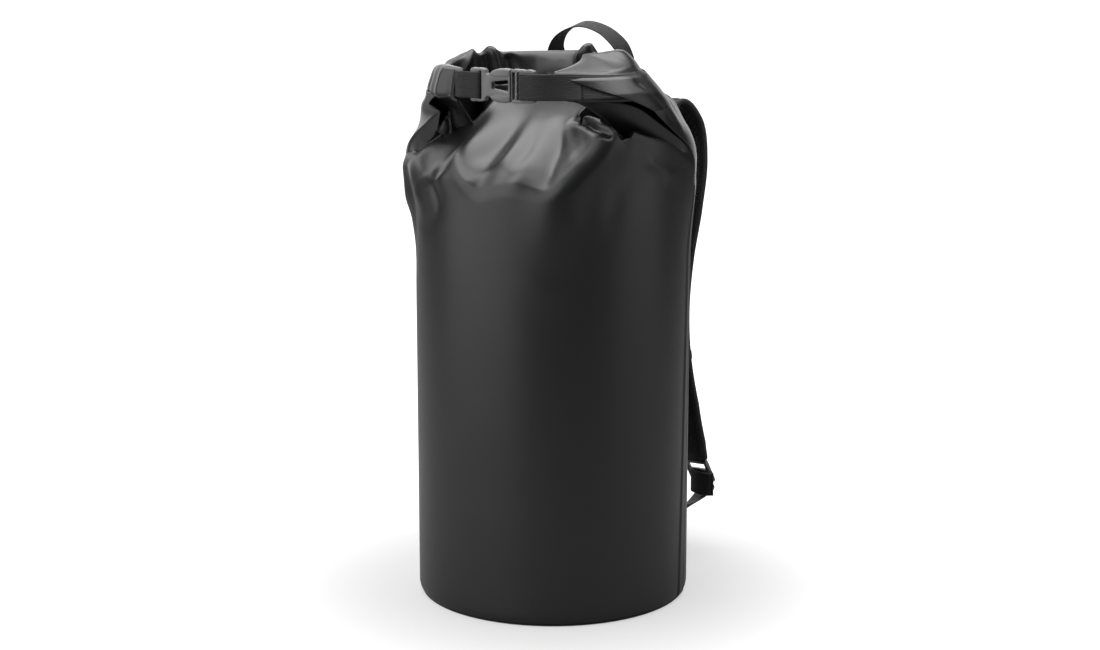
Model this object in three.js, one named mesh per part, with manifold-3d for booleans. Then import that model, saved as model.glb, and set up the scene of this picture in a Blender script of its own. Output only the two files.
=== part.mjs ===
// Roll-top dry-bag backpack: a coated-cloth tube whose flattened mouth is rolled, curled into a C and
// buckled in front, with a carry loop and two padded shoulder straps on the back.
// Millimetres, +Z up. Origin at the middle of the base on the floor. The buckle faces -Y, the back is +Y.

import * as THREE from 'three';
import { mergeVertices } from 'three/addons/utils/BufferGeometryUtils.js';
import Module from 'manifold-3d';

// Driving sizes

const bodyRadius = 137.5;       // cloth tube, outside
const clothWall = 2;            // coated cloth, as one layer
const gap = 0.3;                // between pieces that touch
const shoulderHeight = 437;     // where the front starts to slope back
const rollFootHeight = 512;     // underside of the rolled mouth
const collarHeight = rollFootHeight - shoulderHeight;

const baseThickness = 2;        // round base disc

const rollHalfWidth = 102;      // C-curve of the roll, an ellipse open to the front
const rollHalfDepth = 77;
const rollShiftX = 4;
const rollShiftY = -50;
const rollLeftEnd = -149;       // degrees from the back, round to the ends
const rollRightEnd = 145;
const rollThickness = 16;
const rollHeight = 33;
const rollEndShear = 22;        // how far the right end's top runs past its foot

const leftPinch = -75;          // degrees from the front: where each side of the mouth folds
const rightPinch = 98;
const kneeRound = 30;           // bending lengths at the shoulder and at the gusset fold
const foldRound = 24;
const kneeRun = 40;             // straight stretch under the shoulder that the bend starts from
const pleatAngle = 12;           // degrees to each side that the hollow stays clear of a pleat
const pinchRun = 110;           // how far down the tube a pinch still pushes it out

const webWidth = 25;            // polyester webbing
const webThickness = 1.6;
const strapClearance = 1;       // between the closure webbing and the roll's soft side

const buckleWidth = 34;         // side-release buckle for that webbing
const buckleThickness = 9;
const socketLength = 42;
const plugLength = 24;
const buckleX = 3;              // its middle
const buckleY = -126;
const buckleZ = rollFootHeight + 16;

const handleTop = rollFootHeight + 54;   // centre of the carry loop's crown
const handleFeet = 86;          // between the middles of its feet
const handleShift = -4;         // its middle, across the back
const harnessZ = shoulderHeight + 3;     // middle of the patch that carries loop and straps
const patchWidth = 170;
const patchHeight = 76;
const patchThickness = 1.6;

const padWidth = 60;            // shoulder strap
const padThickness = 12;
const keeperHeight = 10;        // webbing band round the pad
const keeperThickness = 2;
const keeperZ = 218;

const lockWidth = 36;           // ladder lock under the pad
const lockLength = 26;
const lockThickness = 5;
const lockBar = 4;
const anchorAngle = 142;        // degrees from the front, low anchors
const anchorZ = 40;
const anchorPatch = 58;
const tailLength = 30;          // the rolled-up free end, across
const tailDepth = 13;
const tailTurns = 3;

// Tables: a row for each section of the mouth. Angles in degrees from the front, towards +X.
// reach is the shoulder's radius over bodyRadius and up its height over collarHeight.
// fold is the point that the cloth bends at on its way to the roll, as shares of the same two sizes.

const frontSections = [
  { angle: -75, reach: 1.100, up: 0.24, foldX: -0.720, foldY: -0.600, foldUp: 0.72 },
  { angle: -66, reach: 1.060, up: 0.18, foldX: -0.800, foldY: -0.330, foldUp: 0.34 },
  { angle: -52, reach: 1.010, up: 0.10, foldX: -0.600, foldY: -0.250, foldUp: 0.55 },
  { angle: -35, reach: 1.000, up: 0.05, foldX: -0.400, foldY: -0.280, foldUp: 0.73 },
  { angle: 0, reach: 1.000, up: 0.00, foldX: 0.000, foldY: -0.360, foldUp: 0.73 },
  { angle: 28, reach: 1.000, up: 0.06, foldX: 0.300, foldY: -0.420, foldUp: 0.78 },
  { angle: 41, reach: 0.975, up: 0.42, foldX: 0.380, foldY: -0.480, foldUp: 0.84 },
  { angle: 49, reach: 0.955, up: 0.74, foldX: 0.420, foldY: -0.500, foldUp: 0.84 },
  { angle: 56, reach: 0.965, up: 0.52, foldX: 0.430, foldY: -0.500, foldUp: 0.58 },
  { angle: 66, reach: 0.980, up: 0.66, foldX: 0.560, foldY: -0.420, foldUp: 0.66 },
  { angle: 80, reach: 1.000, up: 0.50, foldX: 0.740, foldY: -0.330, foldUp: 0.58 },
  { angle: 90, reach: 1.030, up: 0.34, foldX: 0.840, foldY: -0.240, foldUp: 0.50 },
  { angle: 98, reach: 1.055, up: 0.24, foldX: 0.830, foldY: -0.520, foldUp: 0.98 },
];

const rearSections = [
  { angle: 98, reach: 1.055, up: 0.24, foldX: 0.830, foldY: -0.520, foldUp: 0.98 },
  { angle: 108, reach: 1.045, up: 0.30, foldX: 0.940, foldY: -0.250, foldUp: 0.97 },
  { angle: 122, reach: 1.020, up: 0.40, foldX: 0.950, foldY: 0.060, foldUp: 0.98 },
  { angle: 150, reach: 1.000, up: 0.60, foldX: 0.600, foldY: 0.600, foldUp: 1.03 },
  { angle: 180, reach: 1.000, up: 0.75, foldX: 0.015, foldY: 0.690, foldUp: 1.07 },
  { angle: 210, reach: 1.000, up: 0.63, foldX: -0.580, foldY: 0.580, foldUp: 1.03 },
  { angle: 240, reach: 1.010, up: 0.41, foldX: -0.930, foldY: 0.110, foldUp: 0.88 },
  { angle: 265, reach: 1.050, up: 0.31, foldX: -0.980, foldY: -0.200, foldUp: 0.76 },
  { angle: 285, reach: 1.100, up: 0.24, foldX: -0.720, foldY: -0.600, foldUp: 0.72 },
];

// Soft folds: a ridge, or with a minus a dent, along a line from one point on the cloth to another.
// Angle in degrees, up as a share of shoulderHeight, inward as a share of bodyRadius in from the wall,
// width and height as shares of bodyRadius.

const clothFolds = [
  { angleA: -72, upA: 1.04, inA: 0.00, angleB: -50, upB: 0.80, inB: 0.00, width: 0.090, height: -0.050 },
  { angleA: -72, upA: 0.98, inA: 0.00, angleB: -74, upB: 0.86, inB: 0.00, width: 0.160, height: 0.045 },
  { angleA: 62, upA: 1.07, inA: 0.10, angleB: 28, upB: 0.82, inB: 0.00, width: 0.110, height: 0.030 },
  { angleA: 44, upA: 1.04, inA: 0.04, angleB: 12, upB: 0.86, inB: 0.00, width: 0.100, height: -0.026 },
  { angleA: -30, upA: 1.02, inA: 0.06, angleB: -8, upB: 1.10, inB: 0.55, width: 0.100, height: 0.026 },
  { angleA: -12, upA: 1.00, inA: 0.05, angleB: 0, upB: 1.09, inB: 0.50, width: 0.100, height: -0.018 },
  { angleA: 10, upA: 1.01, inA: 0.06, angleB: 18, upB: 1.10, inB: 0.55, width: 0.100, height: 0.026 },
];

// The roll, from its left end, share -1, round the back to its right end, share 1: top and thick are
// shares of rollHeight and rollThickness, lean moves the top out and foot the outer edge of its underside,
// both as shares of rollThickness.

const rollSections = [
  { share: -1.00, top: 0.86, thick: 0.80, lean: -0.20, foot: 0.00 },
  { share: -0.86, top: 0.88, thick: 1.05, lean: -0.30, foot: 0.00 },
  { share: -0.66, top: 0.68, thick: 1.00, lean: -0.45, foot: 0.00 },
  { share: -0.50, top: 0.90, thick: 0.95, lean: -0.20, foot: 0.00 },
  { share: -0.38, top: 1.12, thick: 1.05, lean: -0.05, foot: 0.00 },
  { share: -0.30, top: 1.00, thick: 0.80, lean: -0.25, foot: 0.00 },
  { share: -0.22, top: 1.12, thick: 1.05, lean: 0.00, foot: 0.00 },
  { share: -0.12, top: 1.04, thick: 0.80, lean: -0.25, foot: 0.00 },
  { share: 0.04, top: 1.08, thick: 1.00, lean: 0.00, foot: 0.00 },
  { share: 0.20, top: 1.18, thick: 1.10, lean: -0.10, foot: 0.10 },
  { share: 0.36, top: 1.14, thick: 1.00, lean: -0.40, foot: 0.60 },
  { share: 0.50, top: 1.02, thick: 1.20, lean: -0.90, foot: 1.00 },
  { share: 0.68, top: 0.90, thick: 1.50, lean: -1.15, foot: 0.90 },
  { share: 0.86, top: 0.90, thick: 1.30, lean: -0.90, foot: 0.40 },
  { share: 1.00, top: 0.92, thick: 0.60, lean: -0.30, foot: 0.00 },
];

// Small helpers

const rad = THREE.MathUtils.degToRad;
const clamp = THREE.MathUtils.clamp;
const smooth = THREE.MathUtils.smoothstep;

// Value of one column at a place along a table, on a curve that never overshoots its rows.
function along(table, key, column, at) {
  const last = table.length - 1;
  const x = clamp(at, table[0][key], table[last][key]);
  let i = 0;
  while (i < last - 1 && x > table[i + 1][key]) i += 1;
  const step = (k) => table[k + 1][key] - table[k][key];
  const slope = (k) => (table[k + 1][column] - table[k][column]) / step(k);
  const tangent = (k) => {
    if (k === 0) return slope(0);
    if (k === last) return slope(last - 1);
    const before = slope(k - 1);
    const after = slope(k);
    return before * after <= 0 ? 0 : (2 * before * after) / (before + after);
  };
  const h = step(i);
  const t = (x - table[i][key]) / h;
  const a = table[i][column];
  const b = table[i + 1][column];
  return a * (1 + 2 * t) * (1 - t) ** 2 + h * tangent(i) * t * (1 - t) ** 2
    + b * t * t * (3 - 2 * t) + h * tangent(i + 1) * t * t * (t - 1);
}

// Mesh from vertices and triangles, turned so that its faces point out.
function solidFrom(points, triangles) {
  const geometry = new THREE.BufferGeometry();
  const numbers = points.flatMap((p) => [p.x, p.y, p.z]);
  geometry.setAttribute('position', new THREE.Float32BufferAttribute(numbers, 3));
  geometry.setIndex(triangles.flat());
  const merged = mergeVertices(geometry, 1e-3);
  const index = merged.getIndex().array;
  const position = merged.getAttribute('position');
  const corner = (k) => new THREE.Vector3().fromBufferAttribute(position, index[k]);
  const kept = [];
  let volume = 0;
  for (let k = 0; k < index.length; k += 3) {
    if (index[k] === index[k + 1] || index[k + 1] === index[k + 2] || index[k] === index[k + 2]) continue;
    kept.push([index[k], index[k + 1], index[k + 2]]);
    volume += corner(k).dot(corner(k + 1).cross(corner(k + 2)));
  }
  merged.setIndex(kept.flatMap((t) => (volume < 0 ? [t[0], t[2], t[1]] : t)));
  return merged;
}

// The same for one of the library's own closed shapes.
function tidy(geometry) {
  const position = geometry.getAttribute('position');
  const index = geometry.getIndex().array;
  const triangles = [];
  for (let k = 0; k < index.length; k += 3) triangles.push([index[k], index[k + 1], index[k + 2]]);
  return solidFrom(Array.from({ length: position.count }, (_, k) => (
    new THREE.Vector3().fromBufferAttribute(position, k))), triangles);
}

// Side faces between rings of equally many points.
function sides(ringCount, pointCount) {
  const triangles = [];
  for (let i = 0; i < ringCount - 1; i += 1) {
    for (let j = 0; j < pointCount; j += 1) {
      const next = (j + 1) % pointCount;
      const a = i * pointCount + j;
      const b = i * pointCount + next;
      triangles.push([a, b, b + pointCount], [a, b + pointCount, a + pointCount]);
    }
  }
  return triangles;
}

// Closed body through rings, each end closed by a fan round the middle of its ring.
function loft(rings) {
  const count = rings[0].length;
  const points = rings.flat();
  const triangles = sides(rings.length, count);
  for (const end of [0, rings.length - 1]) {
    const middle = new THREE.Vector3();
    rings[end].forEach((p) => middle.addScaledVector(p, 1 / count));
    const hub = points.push(middle) - 1;
    for (let j = 0; j < count; j += 1) {
      const a = end * count + j;
      const b = end * count + ((j + 1) % count);
      triangles.push(end === 0 ? [hub, b, a] : [hub, a, b]);
    }
  }
  return solidFrom(points, triangles);
}

// Solids are cut with manifold-3d.
const wasm = await Module();
wasm.setup();

function toManifold(geometry) {
  const bare = geometry.clone();
  bare.deleteAttribute('normal');
  bare.deleteAttribute('uv');
  const merged = mergeVertices(bare, 1e-4);
  return new wasm.Manifold(new wasm.Mesh({
    numProp: 3,
    vertProperties: new Float32Array(merged.getAttribute('position').array),
    triVerts: new Uint32Array(merged.getIndex().array),
  }));
}

function fromManifold(manifold) {
  const mesh = manifold.getMesh();
  const points = [];
  for (let k = 0; k < mesh.vertProperties.length; k += mesh.numProp) {
    points.push(new THREE.Vector3(...mesh.vertProperties.slice(k, k + 3)));
  }
  const triangles = [];
  for (let k = 0; k < mesh.triVerts.length; k += 3) {
    triangles.push(Array.from(mesh.triVerts.slice(k, k + 3)));
  }
  return solidFrom(points, triangles);
}

const cut = (geometry, ...tools) => fromManifold(
  tools.reduce((rest, tool) => rest.subtract(toManifold(tool)), toManifold(geometry)),
);

// The roll's C-curve

const rollPath = (() => {
  const ellipse = new THREE.EllipseCurve(rollShiftX, rollShiftY, rollHalfWidth, rollHalfDepth,
    rad(90 - rollLeftEnd), rad(90 - rollRightEnd), true);
  ellipse.arcLengthDivisions = 400;
  return ellipse;
})();

// Point on the curve at a share from -1 to 1, moved outwards by a distance.
function rollPoint(share, outward, z) {
  const t = clamp((share + 1) / 2, 0, 1);
  const over = ((share + 1) / 2 - t) * rollPath.getLength();
  const at = rollPath.getPointAt(t);
  const way = rollPath.getTangentAt(t);
  return new THREE.Vector3(at.x + way.x * over - way.y * outward, at.y + way.y * over + way.x * outward, z);
}

// Cloth of the tube

const onWall = (angle, radius, z) => new THREE.Vector3(
  radius * Math.sin(rad(angle)), -radius * Math.cos(rad(angle)), z);

// Corner of a path as a curve that leaves each leg a given run before the corner.
function bend(before, corner, after, run, t) {
  const runIn = Math.min(run, 0.46 * corner.distanceTo(before));
  const runOut = Math.min(run, 0.46 * corner.distanceTo(after));
  const start = corner.clone().lerp(before, runIn / corner.distanceTo(before));
  const end = corner.clone().lerp(after, runOut / corner.distanceTo(after));
  return new THREE.QuadraticBezierCurve3(start, corner, end).getPoint(t);
}

// One section of the mouth: wall under the shoulder, bend, slope, bend at the fold, rise to the roll.
// share runs along the roll, -1 to 1, on the front or rear panel, and v from the wall, 0, to the foot, 1.
// Lined, it is the lowest of the sections within pleatAngle, so that it stays under a narrow pleat.
function sectionPoint(panel, share, v, lined) {
  const front = panel === 'front';
  const table = front ? frontSections : rearSections;
  const pinch = share < 0 ? -leftPinch : rightPinch;
  const angle = front ? share * pinch : 180 - share * (180 - pinch);
  const value = (column) => (lined && column !== 'foldX' && column !== 'foldY'
    ? Math.min(...[-1, -0.5, 0, 0.5, 1].map((k) => along(table, 'angle', column, angle + k * pleatAngle)))
    : along(table, 'angle', column, angle));
  const reach = value('reach');
  const kneeZ = shoulderHeight + collarHeight * value('up');
  const low = onWall(angle, wallRadius(reach, kneeZ, kneeZ - kneeRun), kneeZ - kneeRun);
  const knee = onWall(angle, bodyRadius * reach, kneeZ);
  const fold = new THREE.Vector3(bodyRadius * value('foldX'), bodyRadius * value('foldY'),
    shoulderHeight + collarHeight * value('foldUp'));
  const half = (rollThickness / 2) * Math.sqrt(Math.max(0, 1 - Math.abs(share) ** 6));
  const spread = rollThickness * along(rollSections, 'share', 'foot', share);
  const foot = rollPoint(share, front ? -half : half + spread, rollFootHeight);
  const stops = [0, 0.1, 0.42, 0.55, 0.86, 1];
  const part = (k) => clamp((v - stops[k]) / (stops[k + 1] - stops[k]), 0, 1);
  if (v <= stops[1]) return low.clone().lerp(bend(low, knee, fold, kneeRound, 0), part(0));
  if (v <= stops[2]) return bend(low, knee, fold, kneeRound, part(1));
  if (v <= stops[3]) {
    return bend(low, knee, fold, kneeRound, 1).lerp(bend(knee, fold, foot, foldRound, 0), part(2));
  }
  if (v <= stops[4]) return bend(knee, fold, foot, foldRound, part(3));
  return bend(knee, fold, foot, foldRound, 1).lerp(foot, part(4));
}

function wallRadius(reach, kneeZ, z) {
  return bodyRadius * (1 + (reach - 1) * smooth(z, kneeZ - pinchRun, kneeZ));
}

// The whole panel: v below 0 is the tube under the mouth, down to the floor at -1.
function clothPoint(panel, share, v, lined) {
  if (v >= 0) return sectionPoint(panel, share, v, lined);
  const top = sectionPoint(panel, share, 0, lined);
  const pinch = share < 0 ? -leftPinch : rightPinch;
  const angle = panel === 'front' ? share * pinch : 180 - share * (180 - pinch);
  const reach = along(panel === 'front' ? frontSections : rearSections, 'angle', 'reach', angle);
  const z = top.z * (1 + v);
  return onWall(angle, wallRadius(reach, top.z + kneeRun, z), z);
}

const foldLines = clothFolds.map((fold) => ({
  line: new THREE.Line3(
    onWall(fold.angleA, bodyRadius * (1 - fold.inA), shoulderHeight * fold.upA),
    onWall(fold.angleB, bodyRadius * (1 - fold.inB), shoulderHeight * fold.upB),
  ),
  width: bodyRadius * fold.width,
  height: bodyRadius * fold.height,
}));

// Outward direction of the cloth, from two small steps on it.
function clothNormal(panel, share, v, lined) {
  const step = 0.01;
  const away = panel === 'front' ? 1 : -1;
  const lowShare = Math.max(share - step, -1);
  const highShare = Math.min(share + step, 1);
  const highV = Math.min(v + step, 1);
  const across = clothPoint(panel, highShare, v, lined).sub(clothPoint(panel, lowShare, v, lined));
  const upward = clothPoint(panel, share, highV, lined)
    .sub(clothPoint(panel, share, highV - 2 * step, lined));
  return across.cross(upward).normalize().multiplyScalar(away);
}

// Cloth with its soft folds, moved in by a depth.
function foldedCloth(panel, share, v, depth) {
  const point = clothPoint(panel, share, v, depth > 0);
  const normal = clothNormal(panel, share, v, depth > 0);
  const calm = 1 - smooth(Math.abs(share), 0.9, 1);
  const nearest = new THREE.Vector3();
  let lift = 0;
  for (const fold of foldLines) {
    fold.line.closestPointToPoint(point, true, nearest);
    lift += fold.height * Math.exp(-((point.distanceTo(nearest) / fold.width) ** 2));
  }
  const settle = 1 - smooth(v, 0.6, 0.9);
  return point.addScaledVector(normal, lift * calm * settle - depth);
}

// Shares along the roll, closer together towards its ends.
const columnCount = 30;
const crowding = 0.55;
const shares = Array.from({ length: columnCount + 1 }, (_, k) => {
  const even = (2 * k) / columnCount - 1;
  return crowding * Math.sin(rad(90) * even) + (1 - crowding) * even;
});

const wallRows = [-1, -0.75, -0.5, -0.3, -0.18, -0.09];
const mouthRows = [0, 0.1, 0.2, 0.31, 0.42, 0.55, 0.65, 0.75, 0.86, 1];

// Closed body inside the cloth at a depth: its panels reach as far up as reachUp says for each share.
function clothBody(depth, floor, reachUp) {
  const rings = [...wallRows, ...mouthRows].map((row) => {
    const at = (panel, share) => {
      const v = row > 0 ? row * reachUp(share) : row;
      const point = foldedCloth(panel, share, v, depth);
      if (row === -1) point.z = floor;
      return point;
    };
    const front = shares.map((share) => at('front', share));
    const rear = shares.slice(1, -1).reverse().map((share) => at('rear', share));
    return [...front, ...rear];
  });
  const count = rings[0].length;
  const points = rings.flat();
  const triangles = sides(rings.length, count);
  const top = (rings.length - 1) * count;
  for (let k = 0; k < columnCount; k += 1) {
    const a = top + k;
    const b = top + k + 1;
    const c = top + (count - k - 1) % count;
    const d = top + (count - k) % count;
    triangles.push([a, b, c], [a, c, d]);
  }
  const hub = points.push(new THREE.Vector3(0, 0, floor)) - 1;
  for (let j = 0; j < count; j += 1) triangles.push([hub, (j + 1) % count, j]);
  return solidFrom(points, triangles);
}

// How far up each section the hollow goes: the folded sides of the mouth lie flat on themselves.
const hollowReach = (share) => 0.93 - 0.75 * smooth(Math.abs(share), 0.5, 1);

function makeTube() {
  const outside = clothBody(0, 0, () => 1);
  const inside = clothBody(clothWall, -clothWall, hollowReach);
  return cut(outside, inside);
}

// Round base: a flat disc that is welded into the tube's lower end.
function makeBase() {
  const steps = shares.slice(1).map((share, k) => share - shares[k]);
  const widest = Math.max(...steps) * (180 - Math.abs(leftPinch));
  const facetSag = bodyRadius * (1 - Math.cos(rad(widest / 2)));
  const outer = bodyRadius - clothWall - gap - facetSag;
  const profile = [[0, 0], [outer, 0], [outer, baseThickness], [0, baseThickness]];
  const lathe = new THREE.LatheGeometry(profile.map(([r, z]) => new THREE.Vector2(r, z)), 72);
  lathe.rotateX(Math.PI / 2);
  return tidy(lathe);
}

// Rolled mouth: a rounded section carried along the C, its right end sheared forward at the top.
function makeRoll() {
  const count = 12;
  const steps = 48;
  const rings = [];
  for (let i = 0; i <= steps; i += 1) {
    const share = -1 + (2 * i) / steps;
    const value = (column) => along(rollSections, 'share', column, share);
    const height = rollHeight * value('top');
    const half = (rollThickness / 2) * value('thick');
    const ring = [];
    for (let j = 0; j < count; j += 1) {
      const turn = (2 * Math.PI * (j + 0.5)) / count;
      const squash = (s) => Math.sign(s) * Math.abs(s) ** 0.7;
      const side = squash(Math.cos(turn));
      const rise = 0.5 + 0.5 * squash(Math.sin(turn)) / squash(Math.sin(rad(75)));
      const outward = half * side + rollThickness * (value('lean') * rise
        + value('foot') * (1 - rise) * (0.5 + 0.5 * side));
      const shear = (rollEndShear / (rollPath.getLength() / 2)) * smooth(share, 0.7, 1) * (rise - 0.5);
      ring.push(rollPoint(share + shear, outward, rollFootHeight + gap + height * rise));
    }
    rings.push(ring);
  }
  return loft(rings);
}

// Webbing: a flat band along a path of points, with the way that its width faces at each of them.
function makeBand(rows, width, thickness, steps) {
  const path = new THREE.CatmullRomCurve3(rows.map((row) => row.at), false, 'centripetal');
  const across = new THREE.CatmullRomCurve3(rows.map((row) => row.across), false, 'centripetal');
  const widths = rows.map((row) => row.width ?? width);
  const rings = [];
  for (let i = 0; i <= steps; i += 1) {
    const t = i / steps;
    const at = path.getPoint(t);
    const way = path.getTangent(t);
    const side = across.getPoint(t);
    side.addScaledVector(way, -side.dot(way)).normalize();
    const face = new THREE.Vector3().crossVectors(way, side);
    const k = Math.min(Math.floor(t * (rows.length - 1)), rows.length - 2);
    const here = THREE.MathUtils.lerp(widths[k], widths[k + 1], t * (rows.length - 1) - k);
    rings.push([[-1, -1], [1, -1], [1, 1], [-1, 1]].map(([u, w]) => at.clone()
      .addScaledVector(side, (u * here) / 2)
      .addScaledVector(face, (w * thickness) / 2)));
  }
  return loft(rings);
}

const up = new THREE.Vector3(0, 0, 1);
const point = (x, y, z) => new THREE.Vector3(x, y, z);

// Middle of webbing that lies flat on a patch of the tube, clear of the patch's curve by half its own width
const seatRadius = bodyRadius + patchThickness + 2 * gap + webThickness / 2
  + (webWidth / 2) ** 2 / (2 * bodyRadius);

// Where the buckle's halves begin and end across the front
const socketLeft = buckleX - socketLength * 0.5 - plugLength * 0.5;
const socketRight = socketLeft + socketLength;
const plugRight = socketRight + plugLength;

// Webbing section that lies on the outside of the roll at a share, leaning as the roll does there.
function onRoll(share, z) {
  const value = (column) => along(rollSections, 'share', column, share);
  const skin = (height) => {
    const rise = (height - rollFootHeight) / (rollHeight * value('top'));
    const outward = (rollThickness / 2) * value('thick')
      + rollThickness * (value('lean') * rise + value('foot') * (1 - rise));
    return rollPoint(share, outward + webThickness / 2 + strapClearance, height);
  };
  const low = skin(z - webWidth / 2);
  const high = skin(z + webWidth / 2);
  return { at: low.clone().lerp(high, 0.5), across: high.sub(low).normalize() };
}

// Short tab from the roll's left end to the socket.
function makeTab() {
  return makeBand([
    onRoll(-0.93, buckleZ),
    onRoll(-0.985, buckleZ),
    { at: point(socketLeft - 6, buckleY + 1, buckleZ), across: up },
    { at: point(socketLeft - gap, buckleY, buckleZ), across: up },
  ], webWidth, webThickness, 10);
}

// Strap from the plug round the outside of the roll's right end.
function makeStrap() {
  return makeBand([
    { at: point(plugRight + gap, buckleY, buckleZ), across: up },
    { at: point(plugRight + 8, buckleY, buckleZ), across: up },
    ...[0.97, 0.92, 0.86, 0.8, 0.74, 0.68].map((share) => onRoll(share, buckleZ)),
  ], webWidth, webThickness, 20);
}

// Plate outline of the buckle's halves, along X and Z, pushed to its thickness along Y.
function plate(outline, holes, thickness) {
  const shape = new THREE.Shape(outline.map(([x, z]) => new THREE.Vector2(x, z)));
  holes.forEach((hole) => shape.holes.push(new THREE.Path(hole.map(([x, z]) => new THREE.Vector2(x, z)))));
  const geometry = new THREE.ExtrudeGeometry(shape, { depth: thickness, bevelEnabled: false });
  geometry.translate(0, 0, -thickness / 2);
  geometry.rotateX(Math.PI / 2);
  return geometry;
}

// Socket: a flat shell with a waist where the release arms show, a window and a bar for the tab.
function makeSocket() {
  const half = buckleWidth / 2;
  const left = -socketLength / 2;
  const right = socketLength / 2;
  const upper = [
    [right, half * 0.9], [right - 2, half], [left + 30, half * 0.95], [left + 25, half * 0.66],
    [left + 20, half * 0.72], [left + 17, half], [left + 6, half], [left, half * 0.86],
  ];
  const lower = upper.map(([x, z]) => [x, -z]).reverse();
  const outline = [...lower, ...upper];
  const windowLeft = left + 23;
  const windowRight = right - 2.5;
  const window = [[windowLeft, -3.5], [windowRight, -6.5], [windowRight, 6.5], [windowLeft, 3.5]];
  const shell = plate(outline, [window], buckleThickness);
  const slotDepth = webThickness + 2 * gap;
  const slot = new THREE.BoxGeometry(7, slotDepth, webWidth + 1);
  slot.translate(left + 3, 0, 0);
  return cut(shell, slot);
}

// Plug: a crossbar with the webbing's slot and the root of the release arms that enter the socket.
function makePlug() {
  const half = buckleWidth / 2;
  const left = -plugLength / 2;
  const right = plugLength / 2;
  const outline = [
    [left, -half * 0.8], [right - 4, -half], [right, -half * 0.8],
    [right, half * 0.8], [right - 4, half], [left, half * 0.8],
  ];
  const slot = new THREE.BoxGeometry(6, webThickness + 2 * gap, webWidth + 1);
  slot.translate(right - 2, 0, 0);
  return cut(plate(outline, [], buckleThickness * 0.8), slot);
}

// Carry loop of webbing, sewn to the patch at both feet.
function makeHandle() {
  const half = handleFeet / 2;
  const foot = (side, z) => {
    const turn = THREE.MathUtils.radToDeg(Math.asin((side * half + handleShift) / seatRadius));
    return { at: onWall(180 - turn, seatRadius, z), across: onWall(90 - turn, -side, 0) };
  };
  const loop = (x, back, down, across) => ({
    at: point(handleShift + half * x, bodyRadius * back, handleTop - down), across: point(...across),
  });
  return makeBand([
    foot(-1, harnessZ - 20),
    foot(-1, harnessZ + 25),
    loop(-1.05, 1.00, 54, [0.8, -0.5, 0]),
    loop(-1.02, 0.87, 22, [0.35, -0.85, 0.3]),
    loop(-0.68, 0.84, 6, [0.15, -0.9, 0.35]),
    loop(-0.16, 0.83, 0, [0, -0.93, 0.35]),
    loop(0.38, 0.83, 10, [-0.15, -0.9, 0.35]),
    loop(0.72, 0.86, 26, [-0.35, -0.85, 0.25]),
    loop(0.86, 1.01, 54, [-0.9, -0.4, 0]),
    foot(1, harnessZ + 25),
    foot(1, harnessZ - 20),
  ], webWidth, webThickness, 40);
}

// Patch of coated cloth that follows the tube, between two angles.
function makePatch(middleAngle, width, height, middleZ, thickness) {
  const steps = 14;
  const inner = bodyRadius + gap;
  const half = THREE.MathUtils.radToDeg(width / 2 / inner);
  const rings = [];
  for (let i = 0; i <= steps; i += 1) {
    const share = (2 * i) / steps - 1;
    const angle = middleAngle + half * share;
    const trim = (height / 2) * (1 - 0.1 * Math.abs(share) ** 6);
    rings.push([
      onWall(angle, inner, middleZ - trim), onWall(angle, inner + thickness, middleZ - trim),
      onWall(angle, inner + thickness, middleZ + trim), onWall(angle, inner, middleZ + trim),
    ]);
  }
  return loft(rings);
}

// Shoulder strap's middle line, from the patch up, over and down the back. Out and back are shares of
// bodyRadius, up of shoulderHeight, wide of padWidth; turn is how far its face turns out, in degrees.
const padSections = [
  { out: 0.28, back: 1.034, up: 0.945, wide: 0.70, turn: 16 },
  { out: 0.30, back: 1.060, up: 1.000, wide: 0.90, turn: 16 },
  { out: 0.33, back: 1.090, up: 1.060, wide: 0.98, turn: 16 },
  { out: 0.41, back: 1.175, up: 1.103, wide: 1.00, turn: 16 },
  { out: 0.49, back: 1.262, up: 1.060, wide: 1.00, turn: 16 },
  { out: 0.53, back: 1.270, up: 0.970, wide: 1.00, turn: 18 },
  { out: 0.52, back: 1.215, up: 0.860, wide: 1.00, turn: 20 },
  { out: 0.48, back: 1.150, up: 0.740, wide: 1.00, turn: 20 },
  { out: 0.46, back: 1.120, up: 0.620, wide: 1.00, turn: 20 },
  { out: 0.47, back: 1.140, up: 0.500, wide: 1.00, turn: 20 },
  { out: 0.52, back: 1.220, up: 0.370, wide: 1.00, turn: 22 },
  { out: 0.59, back: 1.310, up: 0.265, wide: 0.80, turn: 24 },
  { out: 0.64, back: 1.360, up: 0.215, wide: 0.55, turn: 26 },
];

function padCurves(side) {
  const spots = padSections.map((row) => point(side * bodyRadius * row.out, bodyRadius * row.back,
    shoulderHeight * row.up));
  const faces = padSections.map((row) => (
    point(side * Math.cos(rad(row.turn)), -Math.sin(rad(row.turn)), 0)));
  return {
    path: new THREE.CatmullRomCurve3(spots, false, 'centripetal'),
    across: new THREE.CatmullRomCurve3(faces, false, 'centripetal'),
  };
}

function padFrame(side, t) {
  const { path, across } = padCurves(side);
  const at = path.getPoint(t);
  const way = path.getTangent(t);
  const wide = across.getPoint(t);
  wide.addScaledVector(way, -wide.dot(way)).normalize();
  const face = new THREE.Vector3().crossVectors(way, wide);
  return { at, way, wide, face };
}

// Rounded flat section: a superellipse, full in the middle and thin at the bound edges.
function padRing(frame, width, thickness, count) {
  const ring = [];
  for (let j = 0; j < count; j += 1) {
    const turn = (2 * Math.PI * (j + 0.5)) / count;
    const squash = (s, power) => Math.sign(s) * Math.abs(s) ** power;
    ring.push(frame.at.clone()
      .addScaledVector(frame.wide, (width / 2) * squash(Math.cos(turn), 0.6))
      .addScaledVector(frame.face, (thickness / 2) * squash(Math.sin(turn), 0.7)));
  }
  return ring;
}

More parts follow.
